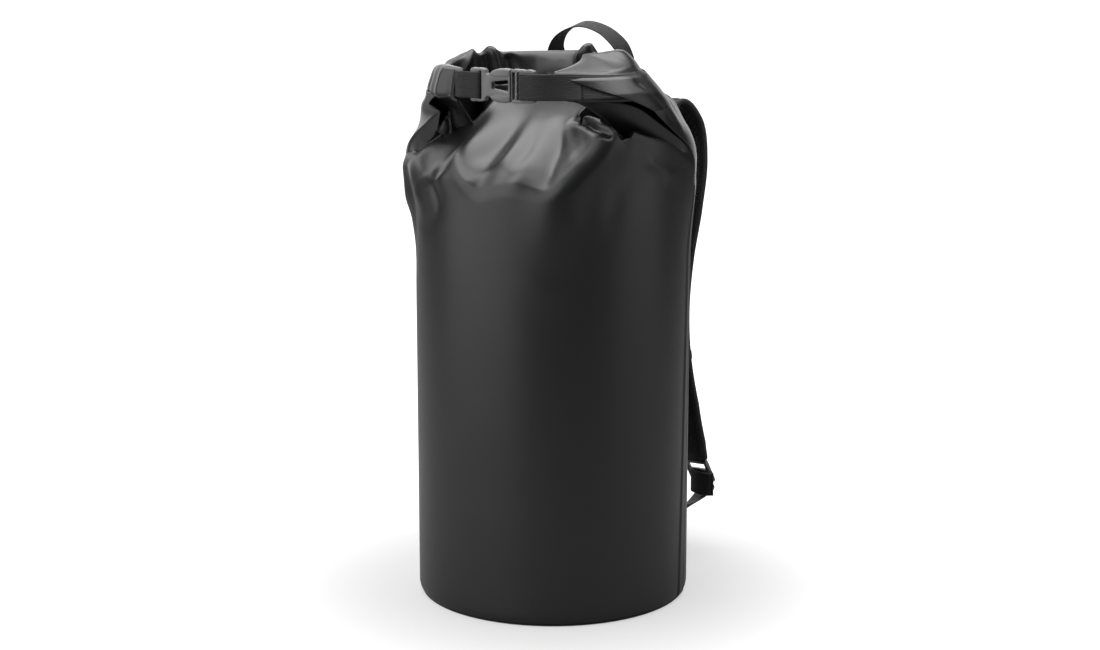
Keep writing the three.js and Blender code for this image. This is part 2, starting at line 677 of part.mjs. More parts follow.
function makePad(side) {
  const steps = 40;
  const rings = [];
  for (let i = 0; i <= steps; i += 1) {
    const t = i / steps;
    const row = t * (padSections.length - 1);
    const k = Math.min(Math.floor(row), padSections.length - 2);
    const wide = THREE.MathUtils.lerp(padSections[k].wide, padSections[k + 1].wide, row - k);
    const thin = 1 - 0.45 * smooth(Math.abs(t - 0.5), 0.44, 0.5);
    rings.push(padRing(padFrame(side, t), padWidth * wide, padThickness * thin, 12));
  }
  return loft(rings);
}

// Share of the pad's middle line at a height on its way down.
function padShareAt(height) {
  let low = 0.4;
  let high = 1;
  for (let k = 0; k < 30; k += 1) {
    const middle = (low + high) / 2;
    if (padFrame(1, middle).at.z > height) low = middle;
    else high = middle;
  }
  return low;
}

// Webbing band round the pad.
function makeKeeper(side) {
  const share = padShareAt(keeperZ);
  const ringAt = (offset, grow) => {
    const frame = padFrame(side, share);
    frame.at.addScaledVector(frame.way, offset);
    return padRing(frame, padWidth + 2 * grow, padThickness + 2 * grow, 24);
  };
  const half = keeperHeight / 2;
  const inside = 4 * gap;
  const outside = inside + keeperThickness;
  const outer = loft([ringAt(-half, outside), ringAt(half, outside)]);
  const inner = loft([ringAt(-keeperHeight, inside), ringAt(keeperHeight, inside)]);
  return cut(outer, inner);
}

// Places of the hardware under the pad's lower end
const lockFrame = (side) => {
  const frame = padFrame(side, 1);
  frame.at.addScaledVector(frame.way, lockLength / 2 + gap);
  return frame;
};

// Box along a frame: across, along and through it.
function frameBox(frame, across, lengthwise, through, offset = 0) {
  const box = new THREE.BoxGeometry(across, lengthwise, through);
  const basis = new THREE.Matrix4().makeBasis(frame.wide, frame.way, frame.face.clone()
    .multiplyScalar(new THREE.Vector3().crossVectors(frame.wide, frame.way).dot(frame.face)));
  basis.setPosition(frame.at.clone().addScaledVector(frame.way, offset));
  return box.applyMatrix4(basis);
}

// Ladder lock: a frame with two slots.
function makeLock(side) {
  const frame = lockFrame(side);
  const slotLength = (lockLength - 3 * lockBar) / 2;
  const slotMiddle = (slotLength + lockBar) / 2;
  const slot = (offset) => frameBox(frame, webWidth + 2, slotLength, lockThickness * 2, offset);
  return cut(frameBox(frame, lockWidth, lockLength, lockThickness), slot(-slotMiddle), slot(slotMiddle));
}

// Webbing from the low anchor to the lock.
function makeLowerWeb(side) {
  const lock = lockFrame(side);
  const tip = lock.at.clone().addScaledVector(lock.way, lockLength / 2 + 3 * gap);
  const sewn = [-12, -8, -4, 0].map((turn) => ({
    at: onWall(side * (anchorAngle + turn), seatRadius, anchorZ), across: up,
  }));
  const leave = onWall(side * (anchorAngle + 5), seatRadius + 6, anchorZ);
  return makeBand([
    ...sewn,
    { at: leave, across: up },
    { at: tip.clone().lerp(leave, 0.5).add(point(0, 4, -8)), across: point(side * 0.7, -0.5, 0.5) },
    { at: tip.clone().addScaledVector(lock.way, 8), across: lock.wide },
    { at: tip, across: lock.wide },
  ], webWidth, webThickness, 28);
}

// Rolled-up free end of that webbing: a flat spiral standing on its edge.
function makeTail(side) {
  const steps = 64;
  const pitch = (tailDepth / 2 - webThickness) / tailTurns;
  const spiral = (turn, inset) => {
    const shrink = (turn / (2 * Math.PI)) * pitch + inset;
    const radii = [tailLength / 2 - shrink, tailDepth / 2 - shrink];
    return new THREE.Vector2(radii[0] * Math.cos(turn), radii[1] * Math.sin(turn));
  };
  const ends = 2 * Math.PI * (tailTurns - 0.6);
  const outer = Array.from({ length: steps + 1 }, (_, k) => spiral((ends * k) / steps, 0));
  const inner = Array.from({ length: steps + 1 }, (_, k) => (
    spiral((ends * (steps - k)) / steps, pitch * 0.7)));
  const geometry = new THREE.ExtrudeGeometry(new THREE.Shape([...outer, ...inner]), {
    depth: webWidth, bevelEnabled: false,
  });
  const lock = lockFrame(side);
  geometry.translate(0, 0, -webWidth / 2);
  geometry.rotateZ(side * rad(-25));
  const spot = lock.at.clone().add(point(side * 4, lockThickness + tailDepth * 0.775, -20));
  return geometry.translate(spot.x, spot.y, spot.z);
}

// Materials: colour, roughness and metalness of each finish.

const finish = (color, roughness) => new THREE.MeshStandardMaterial({ color, roughness, metalness: 0 });
const coatedCloth = finish(0x2f2f31, 0.42);
const webbing = finish(0x1b1b1c, 0.85);
const plastic = finish(0x202021, 0.35);
const mesh3d = finish(0x1d1d1e, 0.9);

const backpack = new THREE.Group();

function add(name, geometry, material, place) {
  const mesh = new THREE.Mesh(geometry, material);
  mesh.name = name;
  if (place) mesh.position.copy(place);
  backpack.add(mesh);
}

add('tube', makeTube(), coatedCloth);
add('base', makeBase(), coatedCloth);
add('rolled_mouth', makeRoll(), coatedCloth);
add('closure_tab', makeTab(), webbing);
add('buckle_socket', makeSocket(), plastic, point((socketLeft + socketRight) / 2, buckleY, buckleZ));
add('buckle_plug', makePlug(), plastic, point((socketRight + plugRight) / 2 + gap, buckleY, buckleZ));
add('closure_strap', makeStrap(), webbing);
add('carry_handle', makeHandle(), webbing);
add('harness_patch', makePatch(180, patchWidth, patchHeight, harnessZ, patchThickness), coatedCloth);

for (const [side, label] of [[1, 'right'], [-1, 'left']]) {
  add(`strap_pad_${label}`, makePad(side), mesh3d);
  add(`strap_keeper_${label}`, makeKeeper(side), webbing);
  add(`ladder_lock_${label}`, makeLock(side), plastic);
  const patch = makePatch(side * anchorAngle, anchorPatch, anchorPatch, anchorZ, patchThickness);
  add(`lower_patch_${label}`, patch, coatedCloth);
  add(`lower_webbing_${label}`, makeLowerWeb(side), webbing);
  add(`strap_tail_${label}`, makeTail(side), webbing);
}

export default backpack;
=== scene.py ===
# Roll-top backpack of black coated cloth: the closed bag with its rolled mouth, front buckle, carry
# loop and padded shoulder straps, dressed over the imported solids. Metres, +Z up, the buckle faces
# -Y.

import math

import bmesh
import bpy
import numpy as np
from mathutils import Matrix

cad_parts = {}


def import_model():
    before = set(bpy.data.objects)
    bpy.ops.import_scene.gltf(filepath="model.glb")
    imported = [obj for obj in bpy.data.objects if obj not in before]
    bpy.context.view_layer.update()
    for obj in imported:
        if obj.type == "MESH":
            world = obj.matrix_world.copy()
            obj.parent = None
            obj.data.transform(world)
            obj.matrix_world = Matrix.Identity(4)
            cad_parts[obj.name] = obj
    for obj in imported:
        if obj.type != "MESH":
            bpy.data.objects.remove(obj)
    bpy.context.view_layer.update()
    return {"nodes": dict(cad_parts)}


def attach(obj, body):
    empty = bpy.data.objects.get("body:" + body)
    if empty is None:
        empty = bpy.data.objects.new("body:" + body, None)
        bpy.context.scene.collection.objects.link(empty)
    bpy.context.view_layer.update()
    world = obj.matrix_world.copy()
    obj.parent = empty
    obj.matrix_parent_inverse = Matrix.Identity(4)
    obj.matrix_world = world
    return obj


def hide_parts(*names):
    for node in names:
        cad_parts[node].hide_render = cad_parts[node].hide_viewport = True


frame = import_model()

MM = 0.001

# Driving sizes, as in the solids; angles here and below are in degrees

BODY_RADIUS = 137.5 * MM
SHOULDER = 437 * MM
ROLL_FOOT = 512 * MM
COLLAR = ROLL_FOOT - SHOULDER
CLOTH = 1.2 * MM
WEB_WIDTH = 25 * MM
WEB_THICK = 1.6 * MM
BUCKLE = np.array([3, -126, 528]) * MM
SOCKET_LENGTH = 42 * MM
PLUG_LENGTH = 24 * MM
BUCKLE_THICK = 9 * MM
PAD_WIDTH = 60 * MM
PAD_THICK = 12 * MM

ROLL_CENTRE = np.array([4, -50]) * MM
ROLL_HALF = np.array([102, 77]) * MM
ROLL_ENDS = (-149, 145)
ROLL_THICK = 16 * MM
ROLL_HEIGHT = 33 * MM

LEFT_PINCH = 75
RIGHT_PINCH = 98
KNEE_ROUND = 30 * MM
FOLD_ROUND = 24 * MM
KNEE_RUN = 40 * MM
PINCH_RUN = 110 * MM


def named_rows(columns, rows):
    """A table's rows as dictionaries, by the names of its columns."""
    return [dict(zip(columns.split(), row)) for row in rows]


# Sections of the mouth: angle in degrees from the front towards +X, the shoulder's reach in body
# radii and its rise in collar heights, and the point that the cloth bends at on its way to the
# roll.

FRONT_SECTIONS = named_rows("angle reach up fold_x fold_y fold_up", [
    (-75, 1.100, 0.24, -0.735, -0.470, 0.66),
    (-71, 1.085, 0.14, -0.790, -0.390, 0.29),
    (-62, 1.040, 0.12, -0.700, -0.380, 0.38),
    (-50, 1.010, 0.04, -0.560, -0.360, 0.54),
    (-35, 1.000, 0.00, -0.400, -0.280, 0.73),
    (-24, 0.995, 0.22, -0.280, -0.300, 0.75),
    (-8, 1.000, -0.04, -0.080, -0.340, 0.73),
    (2, 1.000, 0.06, 0.020, -0.360, 0.74),
    (18, 1.000, 0.00, 0.200, -0.400, 0.75),
    (28, 1.000, 0.10, 0.300, -0.420, 0.78),
    (38, 0.985, 0.36, 0.360, -0.480, 0.82),
    (44, 0.980, 0.56, 0.385, -0.510, 0.86),
    (49, 0.972, 0.72, 0.400, -0.510, 0.88),
    (54, 0.972, 0.78, 0.520, -0.400, 0.20),
    (66, 0.985, 0.68, 0.640, -0.330, 0.00),
    (80, 1.000, 0.54, 0.760, -0.230, 0.00),
    (91, 1.030, 0.34, 0.840, -0.200, 0.10),
    (98, 1.055, 0.24, 0.830, -0.520, 0.98),
])

REAR_SECTIONS = named_rows("angle reach up fold_x fold_y fold_up", [
    (98, 1.055, 0.24, 0.830, -0.520, 0.98),
    (108, 1.045, 0.30, 0.940, -0.250, 0.97),
    (122, 1.020, 0.40, 0.950, 0.060, 0.98),
    (150, 1.000, 0.60, 0.600, 0.600, 1.03),
    (180, 1.000, 0.75, 0.015, 0.690, 1.07),
    (210, 1.000, 0.63, -0.580, 0.580, 1.03),
    (240, 1.010, 0.41, -0.930, 0.110, 0.88),
    (265, 1.050, 0.31, -0.960, -0.200, 0.76),
    (285, 1.100, 0.24, -0.735, -0.470, 0.66),
])

# Folds: a ridge, or with a minus a dent, along a line from one place on the cloth to another. Angle
# in degrees, height above the floor and depth in from the wall in millimetres, width and rise in
# millimetres. Crisp is 1 for a sharp crest and 2, the plain value, for a soft one. Fade is how much
# of the fold is gone at the end of its line.

CLOTH_FOLDS = [
    dict(line=[(-66, 452, 0), (-46, 438, 0), (-34, 422, 0), (-31, 405, 0), (-38, 386, 0)],
         width=8, rise=-3.5, crisp=1.5),
    dict(line=[(-66, 440, 0), (-54, 424, 0), (-44, 404, 0), (-46, 380, 0)], width=13, rise=4),
    dict(line=[(-68, 446, 0), (-62, 400, 0), (-60, 340, 0)], width=13, rise=-4),
    dict(line=[(-74, 430, 0), (-75, 380, 0)], width=20, rise=6),
    dict(line=[(37, 492, 55), (39, 491, 39), (40.6, 489, 27), (42, 487, 18), (43.5, 485, 12),
               (46, 482, 5)],
         width=3.6, rise=-6.5, fade=0),
    dict(line=[(46, 474, 6), (34, 450, 2), (26, 425, 0), (24, 395, 0), (22, 340, 0)],
         width=24, rise=6.5),
    dict(line=[(58, 470, 4), (50, 425, 0), (44, 370, 0)], width=14, rise=-1.5),
    dict(line=[(-38, 438, 4), (-28, 456, 34), (-24, 476, 66)], width=12, rise=2.4, crisp=1.8),
    dict(line=[(-24, 440, 6), (-14, 460, 36), (-10, 484, 76)], width=8, rise=-1.6, crisp=1.7),
    dict(line=[(-13, 436, 2), (-2, 456, 30), (4, 484, 80)], width=9, rise=1.6, crisp=1.7),
    dict(line=[(0, 434, 0), (8, 462, 38), (10, 488, 84)], width=7, rise=-1.5, crisp=1.7),
    dict(line=[(8, 440, 4), (15, 464, 38), (18, 488, 74)], width=9, rise=1.8, crisp=1.7),
    dict(line=[(20, 438, 3), (26, 466, 34), (28, 488, 66)], width=8, rise=-3.4, crisp=1.6),
    dict(line=[(32, 452, 10), (31, 470, 36), (32, 490, 60)], width=7, rise=1.0, crisp=1.7),
    dict(line=[(-44, 434, 0), (-36, 430, 0), (-28, 438, 4), (-20, 441, 6), (-12, 431, 0),
               (4, 436, 1), (18, 433, 0), (31, 448, 4)],
         width=4.5, rise=1.5, crisp=1.4),
    dict(line=[(66, 452, 0), (74, 440, 0), (82, 436, 0)], width=5, rise=2.2, crisp=1.3),
    dict(line=[(68, 444, 0), (78, 430, 0)], width=5, rise=-2, crisp=1.3),
]

# Seam grooves and creases of the flap, in the same way: x, y and z in millimetres.

FLAP_FOLDS = [
    dict(line=[(90, -100, 531), (99, -90, 519), (106, -76, 507), (115, -59, 496), (123, -39, 485)],
         width=1.6, rise=-1.2, fade=0),
    dict(line=[(118, -66, 530), (128, -50, 513), (135, -32, 496), (139, -1, 468)],
         width=6, rise=-1.4),
    dict(line=[(100, -20, 538), (118, -10, 512), (132, 10, 480)], width=8, rise=-3),
    dict(line=[(90, 20, 535), (108, 28, 508), (122, 44, 475)], width=9, rise=3),
]

# Folds of the roll, in the same way: share along it, millimetres out of its curve, height in
# millimetres.

ROLL_FOLDS = [
    dict(line=[(-0.37, -7, 546), (-0.355, -8, 522)], width=6, rise=-6),
    dict(line=[(-0.335, -2, 549), (-0.31, -7, 540), (-0.295, -8, 520)], width=6, rise=6, crisp=1.5),
    dict(line=[(-0.25, -7, 538), (-0.235, -8, 520)], width=7, rise=-6),
    dict(line=[(-0.24, -3, 545), (-0.20, -6, 543)], width=5, rise=3.5),
    dict(line=[(-0.18, -3, 546), (-0.175, -8, 538), (-0.16, -8, 518)],
         width=2.2, rise=2.6, crisp=1.5),
    dict(line=[(-0.155, -3, 545), (-0.15, -8, 536), (-0.14, -8, 518)],
         width=1.8, rise=1.8, crisp=1.5),
    dict(line=[(-0.10, -7, 540), (-0.06, -7, 537), (-0.01, -7, 539)], width=6, rise=6.5, crisp=1.6),
    dict(line=[(-0.07, -8, 524), (0.02, -8, 522)], width=6, rise=-3),
    dict(line=[(0.02, -8, 530), (0.08, -7, 540), (0.13, -3, 550)], width=6, rise=6.5, crisp=1.5),
    dict(line=[(0.10, -8, 524), (0.15, -8, 538)], width=6, rise=-3.5),
    dict(line=[(-0.42, 0, 546), (-0.47, -7, 536), (-0.52, -8, 524)], width=4, rise=3.4, crisp=1.5),
    dict(line=[(-0.62, 0, 541), (-0.60, 8, 532), (-0.62, 8, 516)], width=7, rise=-3),
    dict(line=[(-0.92, 7, 543), (-0.91, 8, 516)], width=6, rise=2.6, crisp=1.6),
    dict(line=[(-0.80, 7, 541), (-0.79, 8, 516)], width=6, rise=-2.4, crisp=1.6),
    dict(line=[(-0.985, 7, 541), (-0.975, 8, 516)], width=4, rise=-2.6, crisp=1.6),
]

# Crests of the slope, x and y in millimetres, behind which the cloth drops: at the left hollow, and
# at the right one, from under the strap to the wall.

LEFT_CREST = [(-146, -41), (-124, -52), (-109, -55), (-96, -56), (-81, -57), (-71, -55),
              (-62, -48), (-56, -38), (-52, -20)]
RIGHT_CREST = [(62, -15), (56, -48), (53, -69), (60, -74), (81, -83), (91, -87), (106, -91)]

# How far the cloth drops behind the left crest, the share of that behind the right one, and the
# distances behind them at which it has dropped in full.
CREST_DROP = 80 * MM
RIGHT_SHARE = 0.6
LEFT_ROUND = 8 * MM
RIGHT_ROUND = 7 * MM

# The roll from its left end, share -1, round the back to its right end, share 1: its top in roll
# heights, and in roll thicknesses its thickness, the lean of its top out of the C, the spread of
# its foot and the tuck of its upper edge.

ROLL_SECTIONS = named_rows("share top thick lean foot tuck", [
    (-1.00, 0.88, 0.90, -0.20, 0.10, 0.0),
    (-0.86, 0.90, 1.10, -0.30, 0.20, 0.0),
    (-0.66, 0.78, 1.00, -0.45, 0.10, 0.0),
    (-0.52, 0.90, 0.95, -0.20, 0.00, 0.0),
    (-0.42, 1.02, 1.05, 0.15, 0.00, 0.0),
    (-0.38, 0.96, 0.85, 0.15, 0.00, 0.0),
    (-0.34, 1.08, 1.05, 0.25, 0.00, 0.0),
    (-0.28, 0.99, 0.85, 0.25, 0.00, 0.0),
    (-0.12, 1.00, 0.80, 0.75, 0.00, 0.0),
    (0.04, 1.06, 0.90, 0.65, 0.00, 0.0),
    (0.12, 1.18, 1.00, 0.05, 0.05, 0.0),
    (0.17, 1.02, 1.00, -0.10, 0.10, 0.0),
    (0.33, 1.16, 1.05, -0.45, 0.50, 0.2),
    (0.45, 1.30, 1.10, -0.90, 0.80, 0.2),
    (0.56, 1.34, 1.15, -1.20, 0.90, 0.2),
    (0.66, 1.29, 1.40, -1.40, 0.85, 0.7),
    (0.76, 1.22, 1.40, -1.25, 0.70, 1.7),
    (0.86, 1.06, 1.30, -0.95, 0.40, 1.4),
    (1.00, 0.86, 0.70, -0.35, 0.00, 0.5),
])


# Numbers and curves


def smooth(x, low, high):
    """Cubic step from 0 at low to 1 at high."""
    t = np.clip((np.asarray(x, float) - low) / (high - low), 0, 1)
    return t * t * (3 - 2 * t)


def along(table, key, column, at):
    """A column's value between rows: cubic pieces whose slope at a row is the harmonic mean of the
    slopes on its two sides, so the curve never passes its rows."""
    x = np.array([row[key] for row in table], float)
    y = np.array([row[column] for row in table], float)
    step = np.diff(x)
    slope = np.diff(y) / step
    same_way = slope[:-1] * slope[1:] > 0
    total = np.where(same_way, slope[:-1] + slope[1:], 1)
    middle = np.where(same_way, 2 * slope[:-1] * slope[1:] / total, 0)
    tangent = np.concatenate([slope[:1], middle, slope[-1:]])
    at = np.clip(np.asarray(at, float), x[0], x[-1])
    i = np.clip(np.searchsorted(x, at, side="right") - 1, 0, len(step) - 1)
    t = (at - x[i]) / step[i]
    return (
        y[i] * (1 + 2 * t) * (1 - t) ** 2
        + step[i] * tangent[i] * t * (1 - t) ** 2
        + y[i + 1] * t * t * (3 - 2 * t)
        + step[i] * tangent[i + 1] * t * t * (t - 1)
    )


def stack(*parts):
    """Arrays of x, y and z as one array of points."""
    return np.stack(np.broadcast_arrays(*parts), axis=-1)


def unit(v):
    """Vectors scaled to length 1."""
    return v / np.maximum(np.linalg.norm(v, axis=-1, keepdims=True), 1e-12)


def on_wall(angle, radius, z):
    """Point at an angle in degrees from the front, a radius and a height."""
    turn = np.radians(angle)
    return stack(radius * np.sin(turn), -radius * np.cos(turn), z)


def bend(before, corner, after, run, t):
    """Quadratic curve round a corner, from a run before it to a run after it: t goes from 0 to
    1."""
    back = np.linalg.norm(before - corner, axis=-1, keepdims=True)
    ahead = np.linalg.norm(after - corner, axis=-1, keepdims=True)
    start = corner + (before - corner) * np.minimum(run, 0.46 * back) / back
    end = corner + (after - corner) * np.minimum(run, 0.46 * ahead) / ahead
    t = t[..., None]
    return start * (1 - t) ** 2 + corner * 2 * t * (1 - t) + end * t * t


def squared(s, power):
    """A sine or cosine raised to a power with its sign kept, which turns a circle towards a
    square."""
    return np.sign(s) * np.abs(s) ** power


def full_turn(steps):
    """Angles once round, in so many steps."""
    return np.linspace(0, 2 * np.pi, steps + 1)[:-1]


def run_along(points):
    """Distance from the first point of a path to each of its points."""
    return np.concatenate([[0], np.cumsum(np.linalg.norm(np.diff(points, axis=0), axis=1))])


def mix(a, b, t):
    """Straight blend of two point arrays."""
    return a + (b - a) * np.asarray(t)[..., None]


def through(points, at):
    """Centripetal Catmull-Rom curve through rows of numbers, at places counted in rows."""
    p = np.asarray(points, float)
    p = np.concatenate([2 * p[:1] - p[1:2], p, 2 * p[-1:] - p[-2:-1]])
    chord = np.linalg.norm(np.diff(p, axis=0), axis=1)
    knots = np.concatenate([[0], np.cumsum(chord ** 0.5 + 1e-9)])
    i = np.clip(np.floor(at).astype(int), 0, len(p) - 4)
    t0, t1, t2, t3 = (knots[i + k] for k in range(4))
    p0, p1, p2, p3 = (p[i + k] for k in range(4))
    t = t1 + (t2 - t1) * (at - i)

    def between(a, b, ta, tb):
        return a + (b - a) * ((t - ta) / (tb - ta))[:, None]

    a1, a2, a3 = between(p0, p1, t0, t1), between(p1, p2, t1, t2), between(p2, p3, t2, t3)
    return between(between(a1, a2, t0, t2), between(a2, a3, t1, t3), t1, t2)


def spline(points, count):
    """The same curve as a number of points, evenly spaced along it."""
    curve = through(points, np.linspace(0, len(points) - 1, 24 * len(points)))
    length = run_along(curve)
    where = np.linspace(0, length[-1], count)
    return np.stack([np.interp(where, length, curve[:, k]) for k in range(curve.shape[1])], axis=1)


def frames(path, across):
    """Unit vectors along a path, across it and out of its flat face, at each of its points."""
    way = unit(np.gradient(path, axis=0))
    side = unit(across - way * np.sum(across * way, axis=1, keepdims=True))
    return way, side, np.cross(way, side)


# Meshes

WELD_REACH = 0.05 * MM


def grid_faces(rows, columns, wrap_rows, wrap_columns):
    """Corner numbers of the quads of a grid of points, joined round where it wraps."""
    i, j = np.meshgrid(
        np.arange(rows if wrap_rows else rows - 1),
        np.arange(columns if wrap_columns else columns - 1),
        indexing="ij",
    )
    i, j = i.ravel(), j.ravel()
    below, right = (i + 1) % rows, (j + 1) % columns
    upper, lower = i * columns, below * columns
    return np.stack([upper + j, upper + right, lower + right, lower + j], axis=1)


def surface(name, points, uv=None, wrap_rows=False, wrap_columns=False, caps=False, flip=False):
    """Mesh from a grid of points, rows first. Caps close its first and last row by a ring of
    triangles round their middles. The map repeats the grid's own u and v in metres."""
    rows, columns = points.shape[:2]
    vertices = points.reshape(-1, 3)
    quads = grid_faces(rows, columns, wrap_rows, wrap_columns)
    if uv is None:
        down = np.linalg.norm(np.diff(points, axis=0, prepend=points[:1]), axis=2)
        across = np.linalg.norm(np.diff(points, axis=1, prepend=points[:, :1]), axis=2)
        uv = np.stack(np.meshgrid(np.cumsum(across.mean(0)), np.cumsum(down.mean(1))), axis=-1)
    flat_uv = uv.reshape(-1, 2)
    fans = np.zeros((0, 3), int)
    if caps:
        low, high = len(vertices), len(vertices) + 1
        vertices = np.concatenate([vertices, points[:1].mean(1), points[-1:].mean(1)])
        flat_uv = np.concatenate([flat_uv, uv[:1].mean(1), uv[-1:].mean(1)])
        k = np.arange(columns)
        after = (k + 1) % columns
        last_row = (rows - 1) * columns
        first = np.stack([np.full(columns, low), after, k], axis=1)
        last = np.stack([np.full(columns, high), last_row + k, last_row + after], axis=1)
        fans = np.concatenate([first, last])
    if flip:
        quads, fans = quads[:, ::-1], fans[:, ::-1]
    corners = np.concatenate([quads.ravel(), fans.ravel()]).astype(np.int32)
    starts = np.concatenate([np.arange(len(quads)) * 4, len(quads) * 4 + np.arange(len(fans)) * 3])
    mesh = bpy.data.meshes.new(name)
    mesh.vertices.add(len(vertices))
    mesh.vertices.foreach_set("co", vertices.astype(np.float32).ravel())
    mesh.loops.add(len(corners))
    mesh.loops.foreach_set("vertex_index", corners)
    mesh.polygons.add(len(starts))
    mesh.polygons.foreach_set("loop_start", starts.astype(np.int32))
    mesh.update(calc_edges=True)
    mesh.validate()
    layer = mesh.uv_layers.new(name="map")
    layer.data.foreach_set("uv", flat_uv[corners].astype(np.float32).ravel())
    mesh.polygons.foreach_set("use_smooth", np.full(len(starts), True))
    piece = bpy.data.objects.new(name, mesh)
    bpy.context.scene.collection.objects.link(piece)
    return piece


def merged(name, pieces):
    """Several meshes as one piece."""
    bpy.ops.object.select_all(action="DESELECT")
    for piece in pieces:
        piece.select_set(True)
    bpy.context.view_layer.objects.active = pieces[0]
    bpy.ops.object.join()
    pieces[0].name = name
    pieces[0].data.name = name
    return pieces[0]


def weld(piece):
    """Joins the vertices that lie on each other."""
    modifier = piece.modifiers.new("weld", "WELD")
    modifier.merge_threshold = WELD_REACH
    return piece


def dress(piece, material, slot, *nodes):
    """Puts a material on a piece, rides it on the body and says which solids it stands for."""
    piece.data.materials.clear()
    piece.data.materials.append(material)
    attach(piece, "root")
    if nodes:
        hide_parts(*nodes)
    return piece


def sweep(name, path, across, profile, scale=1.0):
    """Closed profile carried along a path: its first number, times the scale, runs across, and its
    second out of the face."""
    _, side, face = frames(path, across)
    points = (
        path[:, None]
        + side[:, None] * profile[None, :, :1] * np.reshape(scale, (-1, 1, 1))
        + face[:, None] * profile[None, :, 1:]
    )
    uv = np.stack(np.meshgrid(run_along(profile), run_along(path)), axis=-1)
    return surface(name, points, uv, wrap_columns=True, caps=True, flip=True)


def webbing_profile():
    """Section of webbing: two flat faces between selvedges that are half circles."""
    turn = np.radians(np.linspace(-90, 90, 7))
    half, deep = WEB_WIDTH / 2, WEB_THICK / 2
    edge = stack(half - deep + deep * np.cos(turn), deep * np.sin(turn))
    x = np.linspace(half - deep, -half + deep, 10)[1:-1]
    top, bottom = stack(x, deep), stack(-x, -deep)
    return np.concatenate([edge, top, -edge, bottom])


# The roll's C-curve


def roll_table():
    """Points of the ellipse that the roll follows, their shares from -1 to 1, and its length."""
    turn = np.radians(np.linspace(90 - ROLL_ENDS[0], 90 - ROLL_ENDS[1], 1500))
    xy = ROLL_CENTRE + ROLL_HALF * np.stack([np.cos(turn), np.sin(turn)], axis=1)
    run = run_along(xy)
    return xy, 2 * run / run[-1] - 1, run[-1]


ROLL_XY, ROLL_SHARES, ROLL_LENGTH = roll_table()
ROLL_WAY = unit(np.gradient(ROLL_XY, axis=0))


def roll_point(share, outward, z):
    """Point beside the roll's curve: a share along it, a distance out of the C, and a height."""
    held = np.clip(share, -1, 1)
    beyond = (share - held) * ROLL_LENGTH / 2
    x, y = (np.interp(held, ROLL_SHARES, ROLL_XY[:, k]) for k in (0, 1))
    way_x, way_y = (np.interp(held, ROLL_SHARES, ROLL_WAY[:, k]) for k in (0, 1))
    return stack(x + way_x * beyond - way_y * outward, y + way_y * beyond + way_x * outward, z)


# Cloth of the tube

# How steeply the roll's foot spreads towards its lower edge, and the strap's gap from the roll.
FOOT_SPREAD = 1.7
STRAP_CLEAR = 1 * MM


def strap_out(share, z):
    """How far out of the roll's curve the closure strap's outer face lies."""
    thick, lean, foot, top = (
        along(ROLL_SECTIONS, "share", k, share) for k in ("thick", "lean", "foot", "top"))
    rise = (z - ROLL_FOOT) / (ROLL_HEIGHT * top)
    spread = foot * np.clip(1 - rise, 0, 1) ** FOOT_SPREAD
    return ROLL_THICK * (thick / 2 + lean * rise + spread) + STRAP_CLEAR + WEB_THICK


# The quarter circle at the tube's lower edge.
HEM = 9 * MM

# How far the tube's cloth reaches up into the roll.
FOOT_INSIDE = 2 * MM


def wall_radius(reach, knee_z, z):
    """The tube's radius at a height: the pinch pushes it out over its last stretch, and a quarter
    circle turns its lower edge in."""
    turned = HEM * 0.6 * (1 - np.sqrt(np.clip(1 - (1 - np.clip(z / HEM, 0, 1)) ** 2, 0, 1)))
    return BODY_RADIUS * (1 + (reach - 1) * smooth(z, knee_z - PINCH_RUN, knee_z)) - turned


# Place that the cloth at the left pinch swings out to on its way to the roll's end.
LEFT_HOOK = np.array([-141, -34, 509]) * MM

# How far the front panel sags into the left pocket behind its crest.
POCKET_SAG = np.array([14, 84, -58]) * MM

# The flap: the shares of the roll at which it starts and is full, the height that it ends at, how
# far its tip is sheared, its gap from the strap, its bulge between its edges, the tuck of its upper
# edge, and where and how far it pulls the cloth's bend under it straight.
FLAP_FROM = 0.26
FLAP_FULL = 0.46
FLAP_TOP = 541 * MM
FLAP_SHEAR = 0.27
FLAP_CLEAR = 1.6 * MM
FLAP_BULGE = 1 * MM
FLAP_TUCK = 6 * MM
FLAP_BEND = 0.62
FLAP_PULL = 0.85

# Where v passes from wall to bend, slope, bend and rise.
STOPS = [0, 0.1, 0.42, 0.55, 0.8, 1]


def flap_point(share, rise):
    """The flap over the strap: from the strap's lower edge, rise 0, to the line that it ends on,
    rise 1. Towards its tip it is sheared, so that its free edge crosses the strap aslant."""
    lap = smooth(share, FLAP_FROM, FLAP_FULL)
    z = ROLL_FOOT + (FLAP_TOP - ROLL_FOOT) * rise * lap
    aslant = smooth(share, 0.55, 1) * FLAP_SHEAR
    at = share - aslant * (1 - rise) + 0.06 * smooth(share, 0.8, 1) * rise
    over_strap = strap_out(at, z) + FLAP_CLEAR + FLAP_BULGE * np.sin(np.pi * np.clip(rise, 0, 1))
    plain = ROLL_THICK * (0.5 + along(ROLL_SECTIONS, "share", "foot", share))
    out = plain + (over_strap - plain) * lap
    tuck = FLAP_TUCK * lap * smooth(rise, 0.75, 1)
    return roll_point(at, out - tuck, z)


def panel_angle(front, share):
    """Angle round the tube at a share along the roll: the two panels meet at the pinches."""
    pinch = np.where(share < 0, LEFT_PINCH, RIGHT_PINCH)
    return share * pinch if front else 180 - share * (180 - pinch)


